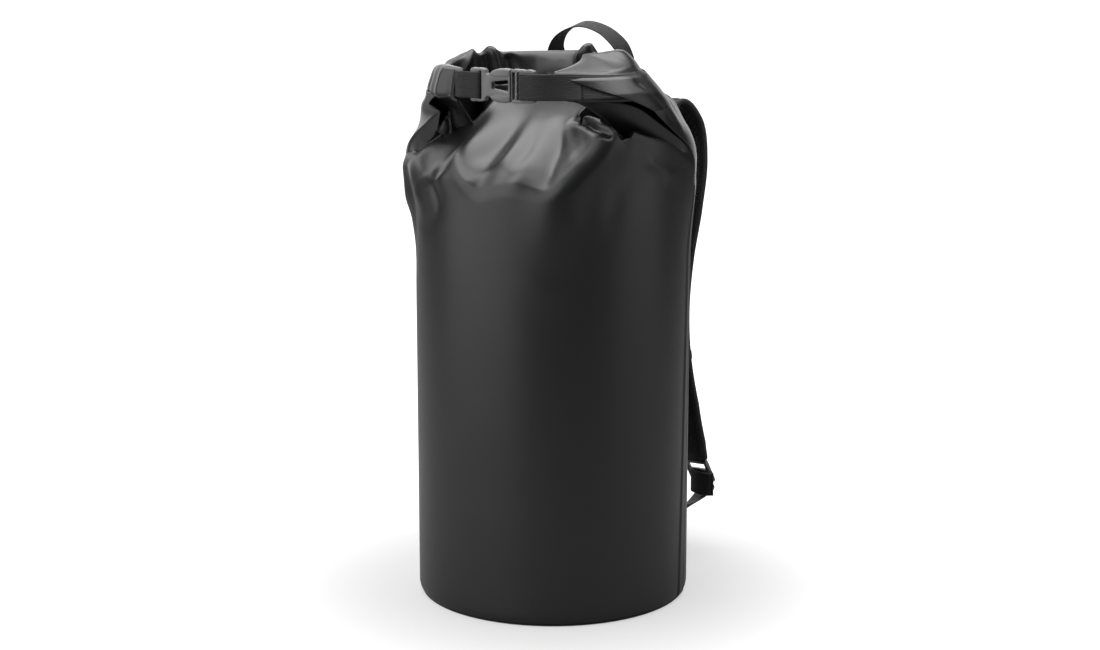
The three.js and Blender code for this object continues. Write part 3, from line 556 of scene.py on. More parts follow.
def section(front, share, v):
    """The cloth at a share along the roll and v from the wall, 0, to the roll, 1: wall, bend at the
    shoulder, slope, bend at the fold, and rise to the roll's foot or, at the right rear, over the
    strap."""
    table = FRONT_SECTIONS if front else REAR_SECTIONS
    angle = panel_angle(front, share)
    reach, up, fold_x, fold_y, fold_up = (
        along(table, "angle", k, angle) for k in ("reach", "up", "fold_x", "fold_y", "fold_up"))
    knee_z = SHOULDER + COLLAR * up
    low = on_wall(angle, wall_radius(reach, knee_z, knee_z - KNEE_RUN), knee_z - KNEE_RUN)
    knee = on_wall(angle, BODY_RADIUS * reach, knee_z)
    fold = stack(BODY_RADIUS * fold_x, BODY_RADIUS * fold_y, SHOULDER + COLLAR * fold_up)
    half = (ROLL_THICK / 2) * np.sqrt(np.maximum(0, 1 - np.abs(share) ** 6))
    part = [np.clip((v - STOPS[k]) / (STOPS[k + 1] - STOPS[k]), 0, 1) for k in range(5)]
    if front:
        foot = roll_point(share, -half, ROLL_FOOT + FOOT_INSIDE)
    else:
        lap = smooth(share, FLAP_FROM, FLAP_FULL)
        spread = ROLL_THICK * along(ROLL_SECTIONS, "share", "foot", share)
        plain = roll_point(share, half + spread, ROLL_FOOT + FOOT_INSIDE)
        start = flap_point(share, 0 * share)
        foot = mix(plain, start, lap)
        fold = mix(fold, mix(knee, foot, FLAP_BEND), lap * FLAP_PULL)
    zero, one = np.zeros_like(v), np.ones_like(v)
    knee_start, knee_end = (bend(low, knee, fold, KNEE_ROUND, t) for t in (zero, one))
    fold_start, fold_end = (bend(knee, fold, foot, FOLD_ROUND, t) for t in (zero, one))
    last = mix(fold_end, foot, part[4])
    hook = 1 - smooth(share, -1, -0.88)
    swing = part[4][..., None]
    hooked = fold_end * (1 - swing) ** 2 + LEFT_HOOK * 2 * swing * (1 - swing) + foot * swing ** 2
    last = mix(last, hooked, hook)
    if front:
        sunk = smooth(share, -1, -0.95) * (1 - smooth(share, -0.52, -0.36))
        last = last + POCKET_SAG * (4 * swing * (1 - swing) * sunk[..., None])
    else:
        over = flap_point(share, part[4])
        settle = smooth(part[4], 0, 0.35)
        last = mix(last, mix(mix(fold_end, over, settle), over, settle), lap)
    where = [(v <= STOPS[k + 1])[..., None] for k in range(4)]
    return np.select(
        where,
        [mix(low, knee_start, part[0]), bend(low, knee, fold, KNEE_ROUND, part[1]),
         mix(knee_end, fold_start, part[2]), bend(knee, fold, foot, FOLD_ROUND, part[3])],
        last,
    )


def panel_cloth(front, share, v):
    """A whole panel: v below 0 is the tube under the mouth, down to the floor at -1."""
    top = section(front, share, np.zeros_like(v))
    table = FRONT_SECTIONS if front else REAR_SECTIONS
    angle = panel_angle(front, share)
    reach = along(table, "angle", "reach", angle)
    z = top[..., 2] * (1 + np.minimum(v, 0))
    wall = on_wall(angle, wall_radius(reach, top[..., 2] + KNEE_RUN, z), z)
    return np.where((v < 0)[..., None], wall, section(front, share, np.maximum(v, 0)))


def outward(points, front):
    """Unit normals of a grid of cloth, out of the bag."""
    across = np.gradient(points, axis=1)
    upward = np.gradient(points, axis=0)
    return unit(np.cross(across, upward)) * (1 if front else -1)


def line_distance(points, line):
    """Distance from each point to a line through places, and the nearest share of the line."""
    nearest = np.full(points.shape[:-1], np.inf)
    share = np.zeros(points.shape[:-1])
    legs = len(line) - 1
    for k in range(legs):
        a, b = line[k], line[k + 1]
        t = np.clip(((points - a) @ (b - a)) / ((b - a) @ (b - a)), 0, 1)
        distance = np.linalg.norm(points - mix(a, b, t), axis=-1)
        closer = distance < nearest
        nearest = np.where(closer, distance, nearest)
        share = np.where(closer, (k + t) / legs, share)
    return nearest, share


def wall_place(angle, z, depth):
    """Place on the tube: angle, height and depth in from the wall, both in millimetres."""
    return on_wall(angle, BODY_RADIUS - depth * MM, z * MM)


def plain_place(x, y, z):
    """Place from x, y and z in millimetres."""
    return stack(x, y, z) * MM


def roll_place(share, out, z):
    """Place beside the roll's curve: share along it, distance out and height in millimetres."""
    return roll_point(share, out * MM, z * MM)


def fold_lift(points, folds, place, fade=0.8):
    """How far the folds lift the cloth: each is its rise times exp(-(distance to its line /
    width)^crisp), and fades out towards the end of its line."""
    lift = np.zeros(points.shape[:2])
    for fold in folds:
        line = spline(place(*np.array(fold["line"], float).T), 14)
        distance, share = line_distance(points, line)
        left = 1 - fold.get("fade", fade) * smooth(share, 0.5, 1)
        near = np.exp(-((distance / (fold["width"] * MM)) ** fold.get("crisp", 2)))
        lift += fold["rise"] * MM * left * near
    return lift


def behind_crest(points, crest):
    """Distance behind a crest line in plan, 0 in front of it, by the side of its nearest leg."""
    line = np.array(crest, float) * MM
    plan = points[..., :2]
    nearest = np.full(plan.shape[:-1], np.inf)
    signed = np.zeros(plan.shape[:-1])
    for k in range(len(line) - 1):
        a, b = line[k], line[k + 1]
        t = np.clip(((plan - a) @ (b - a)) / ((b - a) @ (b - a)), 0, 1)
        offset = plan - mix(a, b, t)
        distance = np.linalg.norm(offset, axis=-1)
        side = (b - a)[0] * offset[..., 1] - (b - a)[1] * offset[..., 0]
        closer = distance < nearest
        nearest = np.where(closer, distance, nearest)
        signed = np.where(closer, np.sign(side) * distance, signed)
    return np.maximum(signed, 0)


# The side seam: its angle at the floor, how many degrees it leans over its height, how wide its lap
# is in degrees, how much it is raised and how deep its grooves are.
SEAM_ANGLE = 90
SEAM_LEAN = 10
SEAM_TALL = 460 * MM
SEAM_WIDE = 7
SEAM_RAISE = 1 * MM
SEAM_GROOVE = 0.7 * MM


def lap_seam(angle, z):
    """Step of the side seam's lap: a raised strip, a groove before it and one pressed into it."""
    at = angle - (SEAM_ANGLE + SEAM_LEAN * z / SEAM_TALL)
    raised = smooth(at, 0, 0.4) * (1 - smooth(at, SEAM_WIDE, SEAM_WIDE + 0.4))
    groove = np.exp(-((at + 0.3) / 0.4) ** 2) + np.exp(-((at - 5.4) / 0.35) ** 2)
    return SEAM_RAISE * raised - SEAM_GROOVE * groove


def panel(front, columns, rows):
    """One panel of the tube's cloth with its folds, as a grid of points from the floor up."""
    share, v = np.meshgrid(columns, rows)
    points = panel_cloth(front, share, v)
    normal = outward(points, front)
    calm = 1 - smooth(np.abs(share), 0.93, 1)
    settle = 1 - smooth(v, 0.7, 0.95)
    lift = fold_lift(points, CLOTH_FOLDS, wall_place) * calm * settle
    if not front:
        flap = smooth(share, 0.1, 0.3) * smooth(v, 0.1, 0.3)
        lift += fold_lift(points, FLAP_FOLDS, plain_place) * flap
    points = points + normal * lift[..., None]
    if front:
        left = smooth(share, -1, -0.955) * (1 - smooth(share, -0.30, -0.16))
        right = smooth(share, 0.36, 0.40) * (1 - smooth(share, 0.54, 0.60))
        drop = (smooth(behind_crest(points, LEFT_CREST), 0, LEFT_ROUND) * left
                + RIGHT_SHARE * smooth(behind_crest(points, RIGHT_CREST), 0, RIGHT_ROUND) * right)
        points[..., 2] -= CREST_DROP * drop * smooth(v, 0.1, 0.3) * (1 - smooth(v, 0.93, 1))
    angle = np.degrees(np.arctan2(points[..., 0], -points[..., 1])) % 360
    step = lap_seam(angle, points[..., 2]) * (1 - smooth(v, -0.02, 0.06))
    return points + unit(points * [1, 1, 0]) * step[..., None]


def graded(*runs):
    """Places in runs of (first, last, count): a run's last place is the next one's first."""
    places = [np.linspace(*run)[:-1] for run in runs[:-1]]
    return np.concatenate([*places, np.linspace(*runs[-1])])


FRONT_COLUMNS = graded(
    (-1, -0.86, 26), (-0.86, 0.34, 70), (0.34, 0.60, 62), (0.60, 0.90, 20), (0.90, 1, 30))
REAR_COLUMNS = graded((-1, -0.8, 20), (-0.8, 0.3, 44), (0.3, 0.88, 50), (0.88, 1, 30))
HEM_ROWS = [-1, -0.997, -0.993, -0.988, -0.98, -0.97]
CLOTH_ROWS = np.concatenate([
    HEM_ROWS, graded((-0.95, -0.3, 17), (-0.3, 0, 24), (0, 0.8, 60), (0.8, 1, 34))])


def tube_cloth():
    """The bag's tube: a front and a rear panel that meet in the pinches, as far as the strap's
    lower edge, past which the rear panel's free edge is the flap's."""
    front = panel(True, FRONT_COLUMNS, CLOTH_ROWS)
    rear = panel(False, REAR_COLUMNS, CLOTH_ROWS)
    pieces = [surface("tube_front", front), surface("tube_rear", rear, flip=True)]
    return merged("tube_cloth", pieces)


# Rolled mouth

# The power that squares the roll's section (1 is a circle), its gap over the tube, the rise from
# which its top is tucked in, and how far the top of its right end leads the bottom.
ROLL_SQUARE = 0.58
ROLL_GAP = 0.3 * MM
TUCK_FROM = 0.72
END_SHEAR = 22 * MM


def rolled_mouth():
    """The turns of cloth: a rounded section carried along the C, with the folds pressed into it."""
    share, turn = np.meshgrid(np.linspace(-1, 1, 560), full_turn(96), indexing="ij")
    top, thick, lean, foot, tuck = (
        along(ROLL_SECTIONS, "share", k, share) for k in ("top", "thick", "lean", "foot", "tuck"))
    side = squared(np.cos(turn), ROLL_SQUARE)
    rise = 0.5 + 0.5 * squared(np.sin(turn), ROLL_SQUARE)
    spread = foot * (1 - rise) ** FOOT_SPREAD * (0.5 + 0.5 * side)
    out = ROLL_THICK * (thick / 2 * side + lean * rise + spread)
    out -= ROLL_THICK * tuck * np.clip((rise - TUCK_FROM) / (1 - TUCK_FROM), 0, 1) ** 1.2
    shear = END_SHEAR / (ROLL_LENGTH / 2) * smooth(share, 0.7, 1) * (rise - 0.5)
    points = roll_point(share + shear, out, ROLL_FOOT + ROLL_GAP + ROLL_HEIGHT * top * rise)
    around = np.concatenate([points, points[:, :1]], axis=1)
    normal = -unit(np.cross(np.gradient(around, axis=0), np.gradient(around, axis=1)))[:, :-1]
    points = points + normal * fold_lift(points, ROLL_FOLDS, roll_place, fade=0)[..., None]
    return surface("rolled_mouth_cloth", points, wrap_columns=True, caps=True)


# Webbing

UP = np.array([0, 0, 1.0])
SOCKET_LEFT = BUCKLE[0] - (SOCKET_LENGTH + PLUG_LENGTH) / 2
SOCKET_RIGHT = SOCKET_LEFT + SOCKET_LENGTH
PLUG_RIGHT = SOCKET_RIGHT + PLUG_LENGTH
BUCKLE_FACE = BUCKLE[1] - BUCKLE_THICK / 2


def on_roll(share):
    """Middle of webbing on the roll's outside at a share, and the way that its width faces."""
    low, high = (roll_point(share, strap_out(share, z) - WEB_THICK / 2, z)
                 for z in (BUCKLE[2] - WEB_WIDTH / 2, BUCKLE[2] + WEB_WIDTH / 2))
    return (low + high) / 2, unit(high - low)


def band(name, rows, steps):
    """Webbing along rows of (middle, way that its width faces): a curve through the middles, the
    ways blended between them."""
    at = np.linspace(0, len(rows) - 1, steps)
    path = through([row[0] for row in rows], at)
    across = through([row[1] for row in rows], at)
    return sweep(name, path, frames(path, across)[1], webbing_profile())


def closure_tab():
    """Tab that comes out of the roll's left end and turns round the socket's bar."""
    face = BUCKLE_FACE - WEB_THICK * 0.6
    bar = SOCKET_LEFT + 10 * MM
    spots = [
        (-30, BUCKLE[1] + 8 * MM),
        (-28, BUCKLE[1] + 4 * MM),
        (-25, BUCKLE[1] - 1 * MM),
        (-19, face + 0.4 * MM),
        (-11, face),
        (-2, face + 0.1 * MM),
        (-0.2, face + 1.2 * MM),
        (-0.4, face + 5.2 * MM),
        (-3, face + 9.6 * MM),
    ]
    rows = [(np.array([bar + x * MM, y, BUCKLE[2]]), UP) for x, y in spots]
    return band("closure_tab_webbing", rows, 130)


def closure_strap():
    """Strap that turns round the plug's bar and runs under the flap, round the roll's right end."""
    face = BUCKLE_FACE - WEB_THICK * 0.6
    bar = SOCKET_RIGHT + 8.6 * MM
    spots = [
        (bar + 3 * MM, face + 9.4 * MM),
        (bar + 0.6 * MM, face + 5.2 * MM),
        (bar + 0.4 * MM, face + 1.4 * MM),
        (bar + 2 * MM, face + 0.1 * MM),
        (bar + 8 * MM, face),
        (PLUG_RIGHT + 1 * MM, face + 0.5 * MM),
        (PLUG_RIGHT + 10 * MM, BUCKLE[1] - 2 * MM),
    ]
    rows = [(np.array([x, y, BUCKLE[2]]), UP) for x, y in spots]
    rows += [on_roll(np.float64(share)) for share in (0.97, 0.92, 0.86, 0.8, 0.74, 0.68)]
    outer = np.array([0, WEB_THICK * 0.9, 0])
    double = [(spot - outer, way) for spot, way in rows[3:8]]
    double.append((mix(double[-1][0], rows[8][0] - outer, 0.5), rows[8][1]))
    parts = [band("strap", rows, 170), band("strap_end", double, 70)]
    return merged("closure_strap_webbing", parts)


# Where the middle of webbing lies on a patch: the wall's bulge under its width holds it off.
SEAT_RADIUS = BODY_RADIUS + WEB_THICK * 1.5 + 0.6 * MM + (WEB_WIDTH / 2) ** 2 / (2 * BODY_RADIUS)
HANDLE_TOP = ROLL_FOOT + 54 * MM
HANDLE_FEET = 86 * MM
HANDLE_SHIFT = -4 * MM
HARNESS_Z = SHOULDER + 3 * MM


def carry_handle():
    """Carry loop of webbing behind the roll, from foot to foot."""
    half = HANDLE_FEET / 2

    def foot(side, z):
        turn = math.asin((side * half + HANDLE_SHIFT) / SEAT_RADIUS)
        way = math.pi / 2 - turn
        return (on_wall(180 - math.degrees(turn), SEAT_RADIUS, z),
                np.array([math.sin(way), -math.cos(way), 0]) * -side)

    def loop(x, back, down, across):
        spot = [HANDLE_SHIFT + half * x, BODY_RADIUS * back, HANDLE_TOP - down * MM]
        return np.array(spot), np.array(across)

    rows = [
        foot(-1, HARNESS_Z - 20 * MM),
        foot(-1, HARNESS_Z + 25 * MM),
        loop(-1.05, 0.96, 52, [0.62, 0.78, 0]),
        loop(-1.02, 0.87, 27, [0.30, 0.95, 0]),
        loop(-0.82, 0.85, 11, [0.10, 0.99, 0.05]),
        loop(-0.30, 0.84, 0, [0, 0.99, 0.14]),
        loop(0.25, 0.84, 5, [0.10, 0.98, 0.16]),
        loop(0.66, 0.86, 20, [0.20, 0.96, 0.18]),
        loop(0.86, 0.92, 40, [0.05, 0.99, 0]),
        loop(0.90, 1.00, 58, [-0.5, 0.86, 0]),
        foot(1, HARNESS_Z + 25 * MM),
        foot(1, HARNESS_Z - 20 * MM),
    ]
    return band("carry_handle_webbing", rows, 240)


# Buckle


def rounded(corners, radius):
    """Outline of corners, each rounded by a quadratic curve that starts a radius before it."""
    p = np.asarray(corners, float)
    before, after = np.roll(p, 1, axis=0), np.roll(p, -1, axis=0)
    t = np.tile(np.linspace(0, 1, 6), (len(p), 1))
    return bend(before[:, None], p[:, None], after[:, None], radius, t).reshape(-1, 2)


def plate(name, outlines, thick, edge):
    """Flat moulding with rounded edges, upright in the buckle's middle plane: the first outline is
    its rim, the others are holes in it."""
    curve = bpy.data.curves.new(name, "CURVE")
    curve.dimensions = "2D"
    curve.fill_mode = "BOTH"
    curve.extrude = thick / 2 - edge
    curve.bevel_depth = edge
    curve.bevel_resolution = 2
    curve.offset = -edge
    for outline in outlines:
        loop = curve.splines.new("POLY")
        loop.points.add(len(outline) - 1)
        loop.points.foreach_set("co", np.pad(outline, ((0, 0), (0, 2))).astype(np.float32).ravel())
        loop.use_cyclic_u = True
    drawn = bpy.data.objects.new(name, curve)
    bpy.context.scene.collection.objects.link(drawn)
    graph = bpy.context.evaluated_depsgraph_get()
    mesh = bpy.data.meshes.new_from_object(drawn.evaluated_get(graph))
    bpy.data.objects.remove(drawn)
    build = bmesh.new()
    build.from_mesh(mesh)
    bmesh.ops.remove_doubles(build, verts=build.verts, dist=2e-6)
    bmesh.ops.recalc_face_normals(build, faces=build.faces)
    build.to_mesh(mesh)
    build.free()
    upright = Matrix.Rotation(math.radians(90), 4, "X")
    mesh.transform(Matrix.Translation([0, BUCKLE[1], BUCKLE[2]]) @ upright)
    mesh.polygons.foreach_set("use_smooth", np.full(len(mesh.polygons), True))
    mesh.set_sharp_from_angle(angle=math.radians(40))
    piece = bpy.data.objects.new(name, mesh)
    bpy.context.scene.collection.objects.link(piece)
    return piece


def mirrored(upper):
    """An outline whose lower half mirrors the given upper one, which runs from right to left."""
    upper = np.array(upper, float)
    return np.concatenate([upper, (upper * [1, -1])[::-1]]) * MM


def block(left, right, low, high):
    """Corners of an upright rectangle, in metres from millimetres."""
    return np.array([(right, low), (right, high), (left, high), (left, low)]) * MM


def buckle_socket():
    """Socket: wings beside the tab, a waist where the release arms show, and a tapered window."""
    rim = mirrored([
        (11.8, 12), (11.4, 15.4), (5, 16.2), (-3, 15.4), (-7.4, 13.6), (-9.6, 10.9), (-11.6, 10.0),
        (-13.6, 11.4), (-14.2, 14.4), (-16.4, 15.4), (-22, 15.9), (-23.4, 15.1), (-24.8, 15.9),
        (-29, 15.6), (-30, 13)])
    window = np.array([(9.2, -6.2), (9.2, 5.6), (-7.4, 3.5), (-7.4, -3.5)]) * MM
    slot = block(-20.3, -18.4, -13, 13)
    outlines = [rounded(rim, 1.1 * MM), rounded(window, 1.6 * MM), rounded(slot, 0.4 * MM)]
    parts = [plate("socket", outlines, BUCKLE_THICK * 0.86, 0.8 * MM)]
    arm = np.array([
        (11, 9.2), (11, 14.8), (5, 15.6), (-2.6, 14.8), (-7.2, 12.8), (-9.6, 10.6), (-5, 8.4)])
    for side in (-1, 1):
        outline = rounded((arm * [1, side])[::side] * MM, 0.9 * MM)
        parts.append(plate("arm", [outline], BUCKLE_THICK * 0.98, 0.7 * MM))
    lip = rounded(block(9.7, 11.5, -8, 8), 0.5 * MM)
    parts.append(plate("lip", [lip], BUCKLE_THICK * 0.96, 0.6 * MM))
    return merged("buckle_socket_moulding", parts)


def buckle_plug():
    """Plug: its crossbar carries the strap, and its arms run on into the socket."""
    rim = mirrored([
        (36, 10), (35.6, 14.6), (31, 15.9), (27.2, 15.7), (26.2, 14.8), (25, 15.7), (14, 15.9),
        (12.6, 15.2), (12.6, 8)])
    outlines = [
        rounded(rim, 0.8 * MM),
        rounded(block(13.4, 16.2, -12.9, 12.9), 0.5 * MM),
        rounded(block(18.9, 20.6, -13, 13), 0.4 * MM),
    ]
    parts = [plate("plug", outlines, BUCKLE_THICK * 0.8, 0.7 * MM)]
    for low, high in ((-12.4, -7.2), (-5.6, 3.4), (5.2, 12.4)):
        rib = rounded(block(16.5, 18.5, low, high), 0.4 * MM)
        parts.append(plate("rib", [rib], BUCKLE_THICK * 0.92, 0.4 * MM))
    return merged("buckle_plug_moulding", parts)


# Harness: patches, padded straps and their hardware

# Sections of a shoulder pad from its top: out and back in body radii, up in shoulder heights, width
# as a share of the full one, and the way that its width faces.
PAD_SECTIONS = named_rows("out back up wide turn", [
    (0.28, 1.034, 0.945, 0.70, 16),
    (0.30, 1.060, 1.000, 0.90, 16),
    (0.33, 1.090, 1.060, 0.98, 16),
    (0.41, 1.175, 1.103, 1.00, 16),
    (0.49, 1.262, 1.060, 1.00, 16),
    (0.53, 1.270, 0.970, 1.00, 18),
    (0.52, 1.215, 0.860, 1.00, 20),
    (0.48, 1.150, 0.740, 1.00, 20),
    (0.46, 1.120, 0.620, 1.00, 20),
    (0.47, 1.140, 0.500, 1.00, 20),
    (0.52, 1.220, 0.370, 1.00, 22),
    (0.59, 1.310, 0.265, 0.80, 24),
    (0.64, 1.360, 0.215, 0.55, 26),
])

# The last row's place, counted from 0.
PAD_LAST = len(PAD_SECTIONS) - 1

# Patches: how far their face stands out of their back and that out of the wall, how much their
# corners are pulled in, and the pressed line's place in from the rim, width and depth.
PATCH_LIFT = 1.9 * MM
PATCH_GAP = 0.25 * MM
PATCH_CORNER = 0.14
PATCH_LINE = 5 * MM
LINE_WIDE = 1.1 * MM
LINE_DEEP = 0.5 * MM


def rim_of(grid):
    """The outer ring of a grid of points, once round."""
    return np.concatenate([grid[0, :-1], grid[:-1, -1], grid[-1, :0:-1], grid[:0:-1, 0]])


def patch(name, middle, width, height, middle_z):
    """Patch of the same cloth welded flat to the tube: a rounded rectangle that is pressed down
    round its rim, with a line pressed in beside it."""
    u, v = np.meshgrid(np.linspace(-1, 1, 71), np.linspace(-1, 1, 61))
    pull = 1 - PATCH_CORNER * (np.abs(u) ** 8) * (np.abs(v) ** 8)
    x, y = u * pull * width / 2, v * pull * height / 2
    rim = np.minimum(width / 2 - np.abs(x), height / 2 - np.abs(y))
    pressed = LINE_DEEP * np.exp(-((rim - PATCH_LINE) / LINE_WIDE) ** 2)
    raised = PATCH_LIFT * smooth(rim, -0.6 * MM, 1.2 * MM) - pressed
    radius = BODY_RADIUS + PATCH_GAP
    angle = middle + np.degrees(x / radius)
    points = on_wall(angle, radius + raised, middle_z + y)
    under = on_wall(angle, radius, middle_z + y)
    top = surface(name, points, stack(x, y))
    skirt = surface(name + "_rim", np.stack([rim_of(under), rim_of(points)]), wrap_columns=True)
    back = surface(name + "_back", under, stack(x, y), flip=True)
    return weld(merged(name, [top, skirt, back]))


def pad_column(column):
    """One column of the pad's sections."""
    return np.array([row[column] for row in PAD_SECTIONS], float)


def pad_frame(side, at):
    """Middle, way, width's way and face of a shoulder strap, at places counted in rows."""
    out, back, up, turn = (pad_column(k) for k in ("out", "back", "up", "turn"))
    spots = stack(side * BODY_RADIUS * out, BODY_RADIUS * back, SHOULDER * up)
    faces = stack(side * np.cos(np.radians(turn)), -np.sin(np.radians(turn)), 0 * turn)
    step = 1e-3
    path = through(spots, at)
    ahead, behind = np.minimum(at + step, len(spots) - 1), np.maximum(at - step, 0)
    way = unit(through(spots, ahead) - through(spots, behind))
    wide = through(faces, at)
    wide = unit(wide - way * np.sum(wide * way, axis=1, keepdims=True))
    return path, way, wide, np.cross(way, wide)


def pad_shape(at):
    """Half width and half thickness of the strap at places along it: it thins towards both ends."""
    wide = np.interp(at, np.arange(len(PAD_SECTIONS)), pad_column("wide"))
    thin = 1 - 0.45 * smooth(np.abs(at / PAD_LAST - 0.5), 0.44, 0.5)
    return PAD_WIDTH / 2 * wide, PAD_THICK / 2 * thin


def shoulder_pad(side, label):
    """Foam pad: a crowned section carried along its curve, thinner where it is bound."""
    at = np.linspace(0, PAD_LAST, 240)
    path, _, wide, face = pad_frame(side, at)
    half, deep = pad_shape(at)
    turn = full_turn(48)
    x, y = np.cos(turn), np.sin(turn)
    across = squared(x, 0.75)
    crown = squared(y, 0.75) * (1 - 0.32 * smooth(np.abs(across), 0.74, 0.92))
    crown = crown * (1 - 0.10 * np.exp(-((np.abs(across) - 0.80) / 0.05) ** 2))
    points = (path[:, None] + wide[:, None] * (half[:, None] * across)[..., None]
              + face[:, None] * (deep[:, None] * crown)[..., None])
    u, v = np.meshgrid(across * PAD_WIDTH / 2 + (y > 0) * 0.2, run_along(path))
    name = f"shoulder_pad_{label}"
    return surface(name, points, stack(u, v), wrap_columns=True, caps=True, flip=side > 0)


# Half sizes of the tape's section, through the pad and along it.
BINDING_DEEP = 3.2 * MM
BINDING_WIDE = 3.4 * MM


def pad_binding(side, label):
    """Tape folded round the pad's edge, all the way round: a rounded bead carried along it."""
    down = np.linspace(0.03 * PAD_LAST, 0.985 * PAD_LAST, 200)
    path, _, wide, face = pad_frame(side, down)
    half, _ = pad_shape(down)
    edges = [path + wide * (half * s)[:, None] for s in (1, -1)]
    rim = np.concatenate([edges[0], edges[1][::-1]])
    loop = spline(np.concatenate([rim[-3:], rim, rim[:3]]), 460)[4:-4]
    nearest = np.argmin(np.linalg.norm(loop[:, None] - rim[None], axis=2), axis=1)
    across = np.concatenate([face, face[::-1]])[nearest]
    turn = full_turn(12)
    profile = stack(BINDING_DEEP * squared(np.cos(turn), 0.8),
                    BINDING_WIDE * squared(np.sin(turn), 0.7))
    way = unit(np.roll(loop, -1, axis=0) - np.roll(loop, 1, axis=0))
    up = unit(across - way * np.sum(across * way, axis=1, keepdims=True))
    out = np.cross(way, up)
    points = (loop[:, None] + up[:, None] * profile[None, :, :1]
              + out[:, None] * profile[None, :, 1:])
    uv = np.stack(np.meshgrid(np.linspace(0, 16 * MM, len(profile)), run_along(loop)), axis=-1)
    return surface(f"pad_binding_{label}", points, uv, wrap_rows=True, wrap_columns=True, flip=True)


def pad_place(height):
    """Row place on the pad's way down at a height, by halving."""
    low, high = 0.4 * PAD_LAST, float(PAD_LAST)
    for _ in range(30):
        middle = (low + high) / 2
        if pad_frame(1, np.array([middle]))[0][0, 2] > height:
            low = middle
        else:
            high = middle
    return low


KEEPER_Z = 218 * MM
KEEPER_TALL = 10 * MM

# Section of the keeper's band: place across it and millimetres past the pad.
KEEPER_RIM = [(-1, 0.9), (-1, 2.6), (-0.8, 3.1), (0, 3.2), (0.8, 3.1), (1, 2.6), (1, 0.9)]


def strap_keeper(side, label):
    """Elastic band round the pad: its section carried round the pad's rounded outline."""
    at = np.array([pad_place(KEEPER_Z)])
    path, way, wide, face = pad_frame(side, at)
    half, deep = pad_shape(at)
    turn = full_turn(96)
    x, y = np.cos(turn), np.sin(turn)
    ring = stack(squared(x, 0.6), squared(y, 0.7))
    rows = []
    for place, grow in KEEPER_RIM:
        size = ring * [half[0] + grow * MM, deep[0] + grow * MM]
        middle = path[0] + way[0] * place * KEEPER_TALL / 2
        rows.append(middle + wide[0] * size[:, :1] + face[0] * size[:, 1:])
    name = f"strap_keeper_band_{label}"
    return surface(name, np.array(rows), wrap_rows=True, wrap_columns=True, flip=side > 0)


LOCK_WIDTH = 36 * MM
LOCK_LENGTH = 26 * MM
LOCK_THICK = 5 * MM
LOCK_BAR = 4 * MM
LOCK_GAP = 0.3 * MM


def lock_frame(side):
    """Middle of the ladder lock under the pad's lower end, the pad's way there and its width's."""
    path, way, wide, _ = pad_frame(side, np.array([float(PAD_LAST)]))
    return path[0] + way[0] * (LOCK_LENGTH / 2 + LOCK_GAP), way[0], wide[0]


def rod(name, start, end, flat, wide, deep):
    """Bar between two points with a rounded section, wide along flat and deep across it."""
    path = start + (end - start) * np.linspace(0, 1, 9)[:, None]
    turn = full_turn(16)
    x, y = np.cos(turn), np.sin(turn)
    profile = stack(wide / 2 * squared(x, 0.5), deep / 2 * squared(y, 0.5))
    size = 1 - 0.25 * np.abs(np.linspace(-1, 1, 9)) ** 8
    return sweep(name, path, np.tile(flat, (9, 1)), profile, scale=size)


def ladder_lock(side, label):
    """Ladder lock: two rails and three bars, the middle one thinner, the last one thicker."""
    at, way, wide = lock_frame(side)
    reach = (LOCK_WIDTH - LOCK_BAR) / 2
    span = (LOCK_LENGTH - LOCK_BAR) / 2
    run, bar = way * (LOCK_LENGTH / 2), wide * reach
    parts = []
    for end in (-1, 1):
        spot = at + wide * end * reach
        parts.append(rod("rail", spot - run, spot + run, wide, LOCK_BAR * 1.1, LOCK_THICK))
    for offset, deep in ((-span, 1.0), (0, 0.9), (span, 1.2)):
        spot = at + way * offset
        parts.append(rod("bar", spot - bar, spot + bar, way, LOCK_BAR, LOCK_THICK * deep))
    return merged(f"ladder_lock_moulding_{label}", parts)


ANCHOR_ANGLE = 142
ANCHOR_Z = 40 * MM
ANCHOR_PATCH = 58 * MM
TAIL_WIDE = 33 * MM
TAIL_DEEP = 14 * MM
TAIL_TURNS = 3
TAIL_LEAN = -25

# Where the rolled tail stands from the lock's middle: outwards, towards the tube and down.
TAIL_FROM_LOCK = np.array([7, -12, -10]) * MM


def lower_webbing(side, label):
    """Webbing from the low anchor up to the lock."""
    at, way, wide = lock_frame(side)
    tip = at + way * (LOCK_LENGTH / 2 + 0.9 * MM)
    rows = [(on_wall(side * (ANCHOR_ANGLE + turn), SEAT_RADIUS, ANCHOR_Z), UP)
            for turn in (-12, -8, -4, 0)]
    leave = on_wall(side * (ANCHOR_ANGLE + 5), SEAT_RADIUS + 6 * MM, ANCHOR_Z)
    rows += [(leave, UP),
             ((tip + leave) / 2 + np.array([0, 4, -8]) * MM, np.array([side * 0.7, -0.5, 0.5])),
             (tip + way * 8 * MM, wide), (tip, wide)]
    return band(f"lower_webbing_band_{label}", rows, 130)


